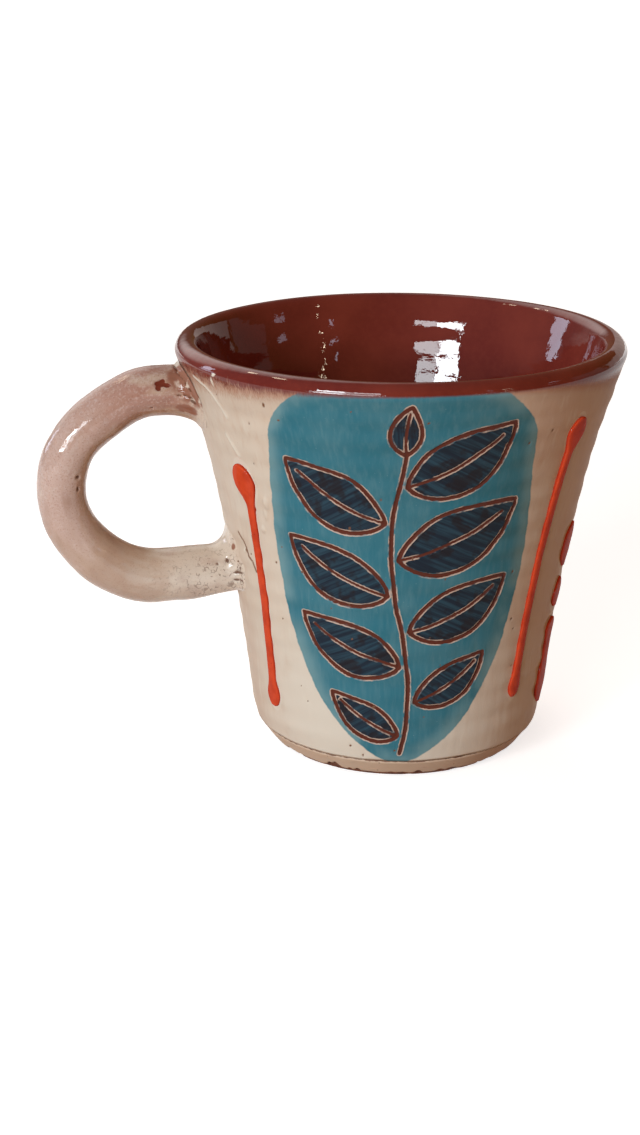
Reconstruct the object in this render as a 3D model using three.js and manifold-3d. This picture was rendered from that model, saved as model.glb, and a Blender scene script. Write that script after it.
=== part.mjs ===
// A hand-thrown earthenware cup with a coil handle, modelled the way a potter makes it: a thrown clay body,
// a handle coil luted to the wall with a collar of soft clay round each root, a cream slip coat over the
// outside with a scored line above the foot, and raised trails and dabs of thick red slip.
// Millimetres, +Z up. The origin is the centre of the flat foot, the handle points along -X and the decorated
// side faces -Y. Azimuths run from +X towards +Y.

import * as THREE from "three";
import { mergeVertices } from "three/addons/utils/BufferGeometryUtils.js";
import Module from "manifold-3d";

const wasm = await Module();
wasm.setup();
const { degToRad, lerp, mapLinear, smoothstep } = THREE.MathUtils;

// Thrown clay body
const cupHeight = 90;
const rimRadius = 47.7;
const lipThickness = 5;
const rimLean = degToRad(20.7); // the wall's lean outwards just under the lip
const footRadius = 26.6; // edge of the flat underside
const scoreHeight = 5.2; // where the foot's bevel ends, at the scored line
const scoreRadius = 30.4;
const wallFootHeight = 10.3; // where the shoulder above the score becomes the wall
const wallFootRadius = 31.5;
const wallFootLean = degToRad(6.6);
const wallThickness = 5; // above the floor; it changes to the lip's thickness at the top
const floorThickness = 6.5;
const insideCornerHeight = 9;
const insideCornerWidth = 11;

// Slip coats
const slipThickness = 0.5;
const slipBond = 0.1; // gap between a slip and what it lies on
const slipBareHeight = 0.6; // bare clay between the coat's upper edge and the curve of the lip
const slipFeatherHeight = 1.5; // the coat thins over this height to its upper edge
const slipEdgeThickness = 0.15;
const scoreWidth = 0.6;
const footSlipHeight = 0.9; // the foot's edge is worn bare below this

// Handle coil
const upperLegDrop = 9.4; // from the top of the lip to the middle of the upper leg
const legSpacing = 40.6;
const upperLegLength = 7; // from the wall to the start of the bend
const bendThickness = 10.5;
const upperBendFullness = 0.47; // 0.55 would be round; the hand-bent coil is flatter
const lowerBendFullness = 0.505;
const upperRootThickness = 10.8;
const lowerRootThickness = 12.5;

// Luting collars, wider on the inside of the loop where a finger smooths the clay
const fitGap = 0.3; // between the handle, the collars, the clay wall and the edge of the slip
const collarLength = 5.5;
const collarEdgeThickness = 0.5;
const collarInnerFlare = 4;
const collarOuterFlare = 1.2;

// Slip trails: a head, a line and a drop at the lower end
const trailFlatness = 0.36; // rise of a narrow trail as a share of its width
const trailGreatestRise = 1.2;
const widestShare = 0.42; // where a head or drop is widest, as a share of its length from the end
const endShare = 0.15; // least width of a trail or dab at its very end, as a share of its full width

// Left trail, beside the handle
const leftTopDrop = 21.6; // from the top of the lip
const leftTipHeight = 12.6;
const leftHeadWidth = 6.4;
const leftHeadLength = 9.5;
const leftHeadLean = -1.5; // sideways, at the very top
const leftLineWidth = 2.3;
const leftDropWidth = 4.1;
const leftDropLength = 7;

// Right trail, on the other side of the painted panel
const rightTopDrop = 11; // from the top of the lip
const rightTipHeight = 16.4;
const rightHeadWidth = 5;
const rightHeadLength = 8;
const rightHeadLean = 0.6;
const rightLineWidth = 2.2;
const rightDropWidth = 3.3;
const rightDropLength = 7;

// Thin dabs and a short trail below them, on the side that faces away from the handle
const sideAzimuth = -30;
const sideGreatestRise = 0.6;
const upperDabTopHeight = 52.4;
const upperDabTipHeight = 41.8;
const upperDabWidth = 7.2;
const lowerDabTopHeight = 39.8;
const lowerDabTipHeight = 32.6;
const lowerDabWidth = 5.6;
const sideTopHeight = 30.2;
const sideTipHeight = 10.2;
const sideHeadWidth = 6;
const sideHeadLength = 6;
const sideLineWidth = 4.4;
const sideDropWidth = 7;
const sideDropLength = 12;

const trails = [
  {
    name: "left_trail",
    top: { azimuth: 207, height: cupHeight - leftTopDrop },
    tip: { azimuth: 202.4, height: leftTipHeight },
    head: { width: leftHeadWidth, length: leftHeadLength, lean: leftHeadLean },
    lineWidth: leftLineWidth,
    greatestRise: trailGreatestRise,
    drop: { width: leftDropWidth, length: leftDropLength },
  },
  {
    name: "right_trail",
    top: { azimuth: 308, height: cupHeight - rightTopDrop },
    tip: { azimuth: 303.4, height: rightTipHeight },
    head: { width: rightHeadWidth, length: rightHeadLength, lean: rightHeadLean },
    lineWidth: rightLineWidth,
    greatestRise: trailGreatestRise,
    drop: { width: rightDropWidth, length: rightDropLength },
  },
  {
    name: "side_trail",
    top: { azimuth: sideAzimuth, height: sideTopHeight },
    tip: { azimuth: sideAzimuth, height: sideTipHeight },
    head: { width: sideHeadWidth, length: sideHeadLength, lean: 0 },
    lineWidth: sideLineWidth,
    greatestRise: sideGreatestRise,
    drop: { width: sideDropWidth, length: sideDropLength },
  },
];
const dabs = [
  {
    name: "side_dab_upper",
    topHeight: upperDabTopHeight,
    tipHeight: upperDabTipHeight,
    width: upperDabWidth,
  },
  {
    name: "side_dab_lower",
    topHeight: lowerDabTopHeight,
    tipHeight: lowerDabTipHeight,
    width: lowerDabWidth,
  },
];

// Facets
const turnSegments = 56;
const shoulderSteps = 3;
const wallSteps = 8;
const lipSteps = 4;
const cornerSteps = 4;
const coilSteps = 30;
const coilSides = 16;
const collarSteps = 5;
const collarSides = 20;
const trailSteps = 28;
const dabSteps = 12;
const beadSides = 6;

const terracotta = { color: 0x5e2418, roughness: 0.25, metalness: 0 };
const creamSlip = { color: 0xd9c9ae, roughness: 0.4, metalness: 0 };
const washedClay = { color: 0xc7a898, roughness: 0.35, metalness: 0 };
const redSlip = { color: 0xc9371f, roughness: 0.25, metalness: 0 };

// Solids

// A closed geometry as a solid that can be cut.
function solid(geometry) {
  const bare = new THREE.BufferGeometry();
  bare.setAttribute("position", geometry.getAttribute("position"));
  bare.setIndex(geometry.getIndex());
  const merged = mergeVertices(bare);
  const vertProperties = merged.getAttribute("position").array;
  const triVerts = new Uint32Array(merged.getIndex().array);
  return new wasm.Manifold(new wasm.Mesh({ numProp: 3, vertProperties, triVerts }));
}

function geometryOf(cutSolid) {
  const { vertProperties, triVerts } = cutSolid.getMesh();
  const geometry = new THREE.BufferGeometry();
  geometry.setAttribute("position", new THREE.BufferAttribute(vertProperties, 3));
  geometry.setIndex(new THREE.BufferAttribute(triVerts, 1));
  geometry.computeVertexNormals();
  return geometry;
}

// A profile of (radius, height) points turned about the Z axis.
function turned(profile) {
  return new THREE.LatheGeometry(profile, turnSegments).rotateX(Math.PI / 2);
}

// A skin over a row of rings that all have the same number of points, closed by a fan at each end.
function loft(rings) {
  const sides = rings[0].length;
  const points = rings.flat();
  const faces = [];
  for (let row = 0; row < rings.length - 1; row++) {
    for (let side = 0; side < sides; side++) {
      const here = row * sides + side;
      const next = row * sides + ((side + 1) % sides);
      faces.push(here, next, next + sides, here, next + sides, here + sides);
    }
  }
  const lastRow = (rings.length - 1) * sides;
  for (let side = 1; side < sides - 1; side++) {
    faces.push(0, side + 1, side, lastRow, lastRow + side, lastRow + side + 1);
  }
  const geometry = new THREE.BufferGeometry().setFromPoints(points);
  geometry.setIndex(faces);
  geometry.computeVertexNormals();
  return geometry;
}

function piece(name, geometry, finish) {
  const mesh = new THREE.Mesh(geometry, new THREE.MeshStandardMaterial(finish));
  mesh.name = name;
  return mesh;
}

// Clay body

const lipRadius = lipThickness / 2;
const lipCentre = new THREE.Vector2(rimRadius - lipRadius, cupHeight - lipRadius);
const lipSide = new THREE.Vector2(Math.cos(rimLean), -Math.sin(rimLean)).multiplyScalar(lipRadius);
const wallTop = lipCentre.clone().add(lipSide);

// A wall curve whose height grows evenly along it, leaning by the given angles at its two ends.
function wallCurve(low, lowLean, high, highLean) {
  const third = (high.y - low.y) / 3;
  const lowControl = new THREE.Vector2(low.x + third * Math.tan(lowLean), low.y + third);
  const highControl = new THREE.Vector2(high.x - third * Math.tan(highLean), high.y - third);
  return new THREE.CubicBezierCurve(low, lowControl, highControl, high);
}

const scorePoint = new THREE.Vector2(scoreRadius, scoreHeight);
const wallFoot = new THREE.Vector2(wallFootRadius, wallFootHeight);
const halfShoulder = (wallFootHeight - scoreHeight) / 2;
const shoulderControl = new THREE.Vector2(
  wallFootRadius - halfShoulder * Math.tan(wallFootLean),
  scoreHeight + halfShoulder,
);
const shoulder = new THREE.QuadraticBezierCurve(scorePoint, shoulderControl, wallFoot);
const wall = wallCurve(wallFoot, wallFootLean, wallTop, rimLean);

// Radius of the clay's outside at a height between the underside and the lip.
function clayRadius(height) {
  if (height <= scoreHeight) return mapLinear(height, 0, scoreHeight, footRadius, scoreRadius);
  if (height <= wallFootHeight) {
    return shoulder.getPoint(mapLinear(height, scoreHeight, wallFootHeight, 0, 1)).x;
  }
  return wall.getPoint(mapLinear(height, wallFootHeight, wallTop.y, 0, 1)).x;
}

// Tangent of the clay wall's lean at a height.
function wallSlope(height) {
  const reach = 1;
  return (clayRadius(height + reach) - clayRadius(height - reach)) / (2 * reach);
}

// Heights of the profile's points from one height to another, with a point at each change of curve.
function heightsBetween(low, high) {
  const heights = [low];
  const shoulderStep = (wallFootHeight - scoreHeight) / shoulderSteps;
  const wallStep = (wallTop.y - wallFootHeight) / wallSteps;
  const joints = [scoreHeight];
  for (let i = 1; i <= shoulderSteps; i++) joints.push(scoreHeight + i * shoulderStep);
  for (let i = 1; i <= wallSteps; i++) joints.push(wallFootHeight + i * wallStep);
  const leastStep = wallStep / 8;
  for (const height of joints) {
    if (height > low + leastStep && height < high - leastStep) heights.push(height);
  }
  heights.push(high);
  return heights;
}

function lipArc(radius, from, to) {
  const { x, y } = lipCentre;
  return new THREE.EllipseCurve(x, y, radius, radius, from, to).getPoints(lipSteps);
}

// The outside of the clay from the underside to the top of the lip, grown by a gap.
function clayOutside(gap) {
  const wallPoints = heightsBetween(0, wallTop.y)
    .slice(0, -1)
    .map((height) => new THREE.Vector2(clayRadius(height) + gap, height));
  return [...wallPoints, ...lipArc(lipRadius + gap, -rimLean, Math.PI / 2)];
}

function clayInside() {
  const cornerTop = floorThickness + insideCornerHeight;
  const wallLow = new THREE.Vector2(clayRadius(cornerTop) - wallThickness, cornerTop);
  const lowLean = Math.atan(wallSlope(cornerTop));
  const inside = wallCurve(wallLow, lowLean, lipCentre.clone().sub(lipSide), rimLean);
  const floorEdge = new THREE.Vector2(wallLow.x - insideCornerWidth, floorThickness);
  const cornerControl = new THREE.Vector2(
    wallLow.x - insideCornerHeight * Math.tan(lowLean),
    floorThickness,
  );
  const corner = new THREE.QuadraticBezierCurve(wallLow, cornerControl, floorEdge);
  return [
    ...lipArc(lipRadius, Math.PI / 2, Math.PI - rimLean).slice(1),
    ...inside.getPoints(wallSteps).reverse().slice(1),
    ...corner.getPoints(cornerSteps).slice(1),
  ];
}

function cupBody() {
  const underside = new THREE.Vector2(0, 0);
  const floor = new THREE.Vector2(0, floorThickness);
  return turned([underside, ...clayOutside(0), ...clayInside(), floor]);
}

// Everything inside the clay's outside and a gap around it, to cut what is joined to the wall.
function clayCutter() {
  const underside = new THREE.Vector2(0, 0);
  const top = new THREE.Vector2(0, cupHeight + fitGap);
  return solid(turned([underside, ...clayOutside(fitGap), top]));
}

// Handle

const upperLegHeight = cupHeight - upperLegDrop;
const lowerLegHeight = upperLegHeight - legSpacing;
const bendRadius = legSpacing / 2;
const bendHeight = upperLegHeight - bendRadius;
const bendReach = clayRadius(upperLegHeight) + upperLegLength; // from the cup's axis to the bend's centre

// Distance from the cup's axis of a leg's end, half way into the wall, where the wall is cut from it.
function legEnd(legHeight) {
  return clayRadius(legHeight) - wallThickness / 2;
}

const coilLine = new THREE.Path();
coilLine.moveTo(-legEnd(upperLegHeight), upperLegHeight);
coilLine.lineTo(-bendReach, upperLegHeight);
coilLine.bezierCurveTo(
  -bendReach - upperBendFullness * bendRadius,
  upperLegHeight,
  -bendReach - bendRadius,
  bendHeight + upperBendFullness * bendRadius,
  -bendReach - bendRadius,
  bendHeight,
);
coilLine.bezierCurveTo(
  -bendReach - bendRadius,
  bendHeight - lowerBendFullness * bendRadius,
  -bendReach - lowerBendFullness * bendRadius,
  lowerLegHeight,
  -bendReach,
  lowerLegHeight,
);
coilLine.lineTo(-legEnd(lowerLegHeight), lowerLegHeight);

// A ring of points round a centre in the plane of Y and a direction in the XZ plane.
function ring(centre, direction, radius, sides) {
  const sideways = new THREE.Vector3(0, 1, 0);
  return Array.from({ length: sides }, (_, i) => {
    const turn = (2 * Math.PI * i) / sides;
    return centre
      .clone()
      .addScaledVector(direction, radius * Math.cos(turn))
      .addScaledVector(sideways, radius * Math.sin(turn));
  });
}

// The coil is thinnest half way round the bend and thickens to each root.
function coilThickness(along) {
  if (along < 0.5) return lerp(upperRootThickness, bendThickness, smoothstep(along, 0, 0.5));
  return lerp(bendThickness, lowerRootThickness, smoothstep(along, 0.5, 1));
}

function coil(gap) {
  const rings = coilLine.getSpacedPoints(coilSteps).map((point, i) => {
    const along = i / coilSteps;
    const tangent = coilLine.getTangentAt(along);
    const outwards = new THREE.Vector3(tangent.y, 0, -tangent.x);
    const centre = new THREE.Vector3(point.x, 0, point.y);
    return ring(centre, outwards, coilThickness(along) / 2 + gap, coilSides);
  });
  return loft(rings);
}

function handle() {
  return geometryOf(solid(coil(0)).subtract(clayCutter()));
}

// Luting collars

// The flared form of a collar before the coil and the wall are cut from it, leaning with the wall.
function collarForm(legHeight, rootThickness, gap) {
  const inwards = Math.sign(bendHeight - legHeight);
  const bore = rootThickness / 2 + fitGap + collarEdgeThickness + gap;
  const upwards = new THREE.Vector3(0, 0, 1);
  const slope = wallSlope(legHeight);
  const seat = clayRadius(legHeight);
  const collarRing = (distance, swell) => {
    const radius = bore + (swell * (collarInnerFlare + collarOuterFlare)) / 2;
    const rise = (inwards * swell * (collarInnerFlare - collarOuterFlare)) / 2;
    const points = ring(new THREE.Vector3(-distance, 0, rise), upwards, radius, collarSides);
    return points.map(({ x, y, z }) => new THREE.Vector3(x - slope * z, y, z + legHeight));
  };
  const rings = [collarRing(legEnd(legHeight), 1)];
  for (let i = 0; i <= collarSteps; i++) {
    const left = 1 - i / collarSteps;
    const swell = 1 - Math.sqrt(1 - left * left);
    rings.push(collarRing(seat + (1 - left) * (collarLength + gap), swell));
  }
  return solid(loft(rings));
}

function lutingCollar(legHeight, rootThickness) {
  const form = collarForm(legHeight, rootThickness, 0);
  return geometryOf(form.subtract(clayCutter()).subtract(solid(coil(fitGap))));
}

// Slip coats

// A coat on the clay between two heights, thinning over the feather below its upper edge.
function slipCoat(low, high, feather, edgeThickness) {
  const heights = heightsBetween(low, high - feather);
  if (feather > 0) heights.push(high);
  const inside = heights.map((height) => new THREE.Vector2(clayRadius(height) + slipBond, height));
  const outside = inside.map(({ x, y }) => {
    const thickness = y > high - feather ? edgeThickness : slipThickness;
    return new THREE.Vector2(x + thickness, y);
  });
  return turned([...outside, ...inside.reverse(), outside[0]]);
}

function wallSlip() {
  const low = scoreHeight + scoreWidth / 2;
  const high = wallTop.y - slipBareHeight;
  const coat = slipCoat(low, high, slipFeatherHeight, slipEdgeThickness);
  const upperCutter = collarForm(upperLegHeight, upperRootThickness, fitGap);
  const lowerCutter = collarForm(lowerLegHeight, lowerRootThickness, fitGap);
  return geometryOf(solid(coat).subtract(upperCutter).subtract(lowerCutter));
}

function footSlip() {
  return slipCoat(footSlipHeight, scoreHeight - scoreWidth / 2, 0, slipThickness);
}

// Slip trails and dabs

// A half-round bead laid on the wall slip from a top to a tip. Its rings are closest at its ends, and each
// place along it has a width and a shift sideways.
function bead(top, tip, steps, greatestRise, widthAt, shiftAt) {
  const rings = Array.from({ length: steps + 1 }, (_, i) => {
    const along = (1 - Math.cos((Math.PI * i) / steps)) / 2;
    const height = lerp(top.height, tip.height, along);
    const width = widthAt(along);
    const rise = Math.min(trailFlatness * width, greatestRise);
    const radius = clayRadius(height) + slipThickness + 2 * slipBond;
    const azimuth = degToRad(lerp(top.azimuth, tip.azimuth, along)) + shiftAt(along) / radius;
    const outwards = new THREE.Vector3(Math.cos(azimuth), Math.sin(azimuth), 0);
    const sideways = new THREE.Vector3(-Math.sin(azimuth), Math.cos(azimuth), 0);
    const base = outwards.clone().multiplyScalar(radius).setZ(height);
    return Array.from({ length: beadSides + 1 }, (_, side) => {
      const turn = (Math.PI * side) / beadSides;
      return base
        .clone()
        .addScaledVector(sideways, (width / 2) * Math.cos(turn))
        .addScaledVector(outwards, rise * Math.sin(turn));
    });
  });
  return loft(rings);
}

// Share of a round-ended bead's full width at a distance from its end.
function roundedEnd(distance, endLength) {
  const left = 1 - Math.min(distance / endLength, 1);
  return Math.max(Math.sqrt(1 - left * left), endShare);
}

// Width near an end that swells to a head or a drop and eases back to the line.
function swollenWidth(distance, swell, lineWidth) {
  const widest = widestShare * swell.length;
  const left = smoothstep(distance, widest, swell.length);
  return lerp(swell.width, lineWidth, left) * roundedEnd(distance, widest);
}

function trail({ top, tip, head, lineWidth, greatestRise, drop }) {
  const length = top.height - tip.height;
  const widthAt = (along) => {
    const headWidth = swollenWidth(along * length, head, lineWidth);
    const dropWidth = swollenWidth((1 - along) * length, drop, lineWidth);
    return (headWidth * dropWidth) / lineWidth;
  };
  const shiftAt = (along) => head.lean * (1 - smoothstep(along * length, 0, head.length));
  return bead(top, tip, trailSteps, greatestRise, widthAt, shiftAt);
}

// A dab swells from a point to its full width and back to a point.
function dab({ topHeight, tipHeight, width }) {
  const top = { azimuth: sideAzimuth, height: topHeight };
  const tip = { azimuth: sideAzimuth, height: tipHeight };
  const widthAt = (along) => width * Math.max(Math.sin(Math.PI * along), endShare);
  return bead(top, tip, dabSteps, sideGreatestRise, widthAt, () => 0);
}

const cup = new THREE.Group();
cup.name = "ceramic_cup";
cup.add(
  piece("cup_body", cupBody(), terracotta),
  piece("handle", handle(), washedClay),
  piece("upper_luting_collar", lutingCollar(upperLegHeight, upperRootThickness), washedClay),
  piece("lower_luting_collar", lutingCollar(lowerLegHeight, lowerRootThickness), washedClay),
  piece("wall_slip", wallSlip(), creamSlip),
  piece("foot_slip", footSlip(), creamSlip),
  ...trails.map((shape) => piece(shape.name, trail(shape), redSlip)),
  ...dabs.map((shape) => piece(shape.name, dab(shape), redSlip)),
);

export default cup;
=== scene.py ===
# %% [markdown]
# # A hand-made cup, one cell at a time
# The real cup is a thrown body of red clay with a rolled handle, a coat of cream slip with a painted
# panel, and raised trails of thick red slip, all under a clear glaze. A CAD model holds its sizes.
# It is loaded first and stays fixed, so each piece below is built straight into the same frame, in metres.

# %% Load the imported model
import math

import bpy
import numpy as np
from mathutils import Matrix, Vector, noise


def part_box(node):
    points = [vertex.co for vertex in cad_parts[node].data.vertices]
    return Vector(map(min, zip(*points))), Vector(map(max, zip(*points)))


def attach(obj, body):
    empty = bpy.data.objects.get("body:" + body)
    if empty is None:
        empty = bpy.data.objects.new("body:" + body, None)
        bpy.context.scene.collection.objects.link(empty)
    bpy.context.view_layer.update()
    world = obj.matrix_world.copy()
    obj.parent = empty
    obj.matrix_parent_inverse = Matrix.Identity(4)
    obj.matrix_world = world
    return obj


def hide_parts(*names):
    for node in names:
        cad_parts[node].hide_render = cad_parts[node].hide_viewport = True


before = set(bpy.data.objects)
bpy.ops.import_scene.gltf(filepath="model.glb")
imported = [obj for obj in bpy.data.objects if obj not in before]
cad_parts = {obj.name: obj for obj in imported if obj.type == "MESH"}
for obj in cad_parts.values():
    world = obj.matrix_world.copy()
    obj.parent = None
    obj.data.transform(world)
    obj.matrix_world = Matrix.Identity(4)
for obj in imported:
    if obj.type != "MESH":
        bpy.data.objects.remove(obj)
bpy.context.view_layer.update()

print("CAD nodes:", ", ".join(sorted(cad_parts)))

# %% [markdown]
# A potter's profile is a few curves: a short bevel up from the foot, a rounded shoulder, a long wall that
# leans out more and more, and a round lip. An outline could be drawn and turned with the Screw modifier,
# but here the radius is a formula of the height, because the slip, the trails and the handle all have to
# sit on the same wall.

# %% Sizes of the thrown body, in millimetres
MM = 0.001
cup_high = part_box("cup_body")[1]
CUP_HEIGHT = cup_high.z / MM
RIM_MARGIN = 0.16  # room for the wobble of the rim inside the CAD model's box
RIM_RADIUS = cup_high.x / MM - RIM_MARGIN
LIP_RADIUS = 2.5
RIM_LEAN = math.radians(20.7)
FOOT_RADIUS = 26.6
SCORE_HEIGHT = 5.2
SCORE_RADIUS = 30.4
WALL_FOOT_HEIGHT = 10.3
WALL_FOOT_RADIUS = 31.5
WALL_FOOT_LEAN = math.radians(6.6)
WALL_THICKNESS = 5
FLOOR_HEIGHT = 6.5
CORNER_HEIGHT = 9
CORNER_WIDTH = 11
print(f"cup {CUP_HEIGHT:.1f} mm high, {2 * RIM_RADIUS:.1f} mm across the rim")

# %% The outside of the clay as a formula
LIP_CENTRE = np.array([RIM_RADIUS - LIP_RADIUS, CUP_HEIGHT - LIP_RADIUS])
LIP_SIDE = LIP_RADIUS * np.array([math.cos(RIM_LEAN), -math.sin(RIM_LEAN)])
WALL_TOP = LIP_CENTRE + LIP_SIDE


def bezier(share, *controls):
    """The point of a Bezier curve at a share of its way, by de Casteljau's construction."""
    row = controls
    while len(row) > 1:
        row = [first + (second - first) * share for first, second in zip(row, row[1:])]
    return row[0]


def wall_radii(low, low_lean, high, high_lean):
    """Four control radii of a wall between two (radius, height) points, with its lean at both ends."""
    third = (high[1] - low[1]) / 3
    return low[0], low[0] + third * math.tan(low_lean), high[0] - third * math.tan(high_lean), high[0]


WALL_RADII = wall_radii((WALL_FOOT_RADIUS, WALL_FOOT_HEIGHT), WALL_FOOT_LEAN, WALL_TOP, RIM_LEAN)
SHOULDER_HEIGHT = WALL_FOOT_HEIGHT - SCORE_HEIGHT
SHOULDER_RADIUS = WALL_FOOT_RADIUS - SHOULDER_HEIGHT / 2 * math.tan(WALL_FOOT_LEAN)


def clay_radius(height):
    """Radius of the clay's outside at a height in mm."""
    bevel = FOOT_RADIUS + (SCORE_RADIUS - FOOT_RADIUS) * height / SCORE_HEIGHT
    shoulder_share = (height - SCORE_HEIGHT) / SHOULDER_HEIGHT
    shoulder = bezier(shoulder_share, SCORE_RADIUS, SHOULDER_RADIUS, WALL_FOOT_RADIUS)
    wall = bezier((height - WALL_FOOT_HEIGHT) / (WALL_TOP[1] - WALL_FOOT_HEIGHT), *WALL_RADII)
    return np.where(height < SCORE_HEIGHT, bevel, np.where(height < WALL_FOOT_HEIGHT, shoulder, wall))


def wall_lean(height):
    """Angle by which the clay's outside leans out at a height."""
    return np.arctan(clay_radius(height + 0.5) - clay_radius(height - 0.5))


print("radius at heights 10, 40 and 80 mm:", clay_radius(np.array([10, 40, 80])).round(1))

# %% [markdown]
# A few helpers make every mesh. One gives smooth noise at points, for the unevenness of hand work. One
# puts a skin of quads over a grid of points, and closes it, so that each piece is a solid with its faces
# outwards. One keeps a number at each point, which a material can read later: that is how a colour can
# follow a shape exactly.

# %% Helpers for meshes


def lumps(points, size, seed):
    """Smooth noise from about -1 to 1 at points in mm; its lumps are about size mm across."""
    shift = Vector((1.7, 3.1, 7.9)) * seed
    places = (points / np.asarray(size)).reshape(-1, 3).tolist()
    values = [noise.noise(Vector(place) + shift) for place in places]
    return np.array(values).reshape(points.shape[:-1])


def turned(radius, height, azimuth):
    """Points of a turned surface: a row for each profile point, a column for each azimuth in degrees."""
    turn = np.radians(azimuth)
    radius, height, turn = np.broadcast_arrays(radius, height, turn)
    return np.stack([radius * np.cos(turn), radius * np.sin(turn), height], axis=-1)


def put(name, data):
    """Adds an object to the scene."""
    made = bpy.data.objects.new(name, data)
    bpy.context.scene.collection.objects.link(made)
    return made


def meshed(name, points, edges, faces):
    """Adds a mesh to the scene, from points in mm."""
    mesh = bpy.data.meshes.new(name)
    mesh.from_pydata((np.asarray(points) * MM).tolist(), edges, faces)
    return put(name, mesh)


def skin(name, grid, closed=False):
    """A mesh over rows of points in mm that close on themselves, with both ends fanned shut."""
    rows, columns = grid.shape[:2]
    index = np.arange(rows * columns).reshape(rows, columns)
    points = grid.reshape(-1, 3)
    faces = []
    if closed:
        index = np.vstack([index, index[:1]])
    else:
        points = np.vstack([points, grid[0].mean(axis=0), grid[-1].mean(axis=0)])
        first, last = index[0], index[-1]
        low_pole = rows * columns
        faces += [(low_pole, right, left) for left, right in zip(first, np.roll(first, -1))]
        faces += [(left, right, low_pole + 1) for left, right in zip(last, np.roll(last, -1))]
    here, above = index[:-1], index[1:]
    quads = np.stack([here, np.roll(here, -1, 1), np.roll(above, -1, 1), above], axis=-1)
    piece = meshed(name, points, [], quads.reshape(-1, 4).tolist() + faces)
    piece.data.shade_smooth()
    return piece


def keep(piece, name, values):
    """Keeps a number at each grid point of a piece, for its material to read."""
    layer = piece.data.attributes.new(name, "FLOAT", "POINT")
    numbers = np.zeros(len(piece.data.vertices), np.float32)
    numbers[: values.size] = values.ravel()
    layer.data.foreach_set("value", numbers)


def ease(value, low, high):
    """0 at low and 1 at high, easing in and out between them."""
    share = np.clip((value - low) / (high - low), 0, 1)
    return share * share * (3 - 2 * share)


def dress(piece, slot, *nodes):
    """Puts a finished piece on the cup in place of CAD nodes, and says how large it is."""
    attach(piece, "root")
    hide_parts(*nodes)
    print(f"{piece.name}: {len(piece.data.polygons)} faces, in place of {', '.join(nodes)}")


print("mesh helpers ready")

# %% [markdown]
# The finishes are node materials. Wiring nodes by hand takes many lines, so one small class adds a node to
# any tree in a short call, and another holds what only a material needs. Sizes are given in millimetres,
# and every pattern reads Object coordinates or a number kept on the mesh, so nothing slides when the view
# changes.

# %% A workbench for node trees


class Bench:
    """A node tree under construction."""

    def __init__(self, tree):
        self.tree = tree
        tree.nodes.clear()

    def node(self, kind, sockets=None, **settings):
        """Adds a node with its settings, and with a value or a link for each named socket."""
        made = self.tree.nodes.new(kind)
        for setting, value in settings.items():
            setattr(made, setting, value)
        for name, value in (sockets or {}).items():
            socket = made.inputs[name]
            if isinstance(value, bpy.types.NodeSocket):
                self.tree.links.new(value, socket)
            elif socket.type == "RGBA":
                socket.default_value = (*value, 1)
            else:
                socket.default_value = value
        return made

    def calc(self, operation, first, second=0.0):
        return self.node("ShaderNodeMath", {0: first, 1: second}, operation=operation).outputs[0]

    def times(self, first, second):
        return self.calc("MULTIPLY", first, second)

    def plus(self, first, second):
        return self.calc("ADD", first, second)

    def vector(self, operation, first, second=(0, 0, 0)):
        """Outputs of a sum with vectors: Vector for most operations, Value for a length or a dot product."""
        return self.node("ShaderNodeVectorMath", {0: first, 1: second}, operation=operation).outputs

    def rise(self, value, low, high):
        """0 where a value is at low, 1 where it is at high, easing between them."""
        sockets = {"Value": value, "From Min": low, "From Max": high}
        return self.node("ShaderNodeMapRange", sockets, interpolation_type="SMOOTHSTEP").outputs["Result"]

    def mix(self, share, first, second):
        """A colour on the way from the first to the second."""
        return self.node("ShaderNodeMix", {0: share, 6: first, 7: second}, data_type="RGBA").outputs[2]


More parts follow.
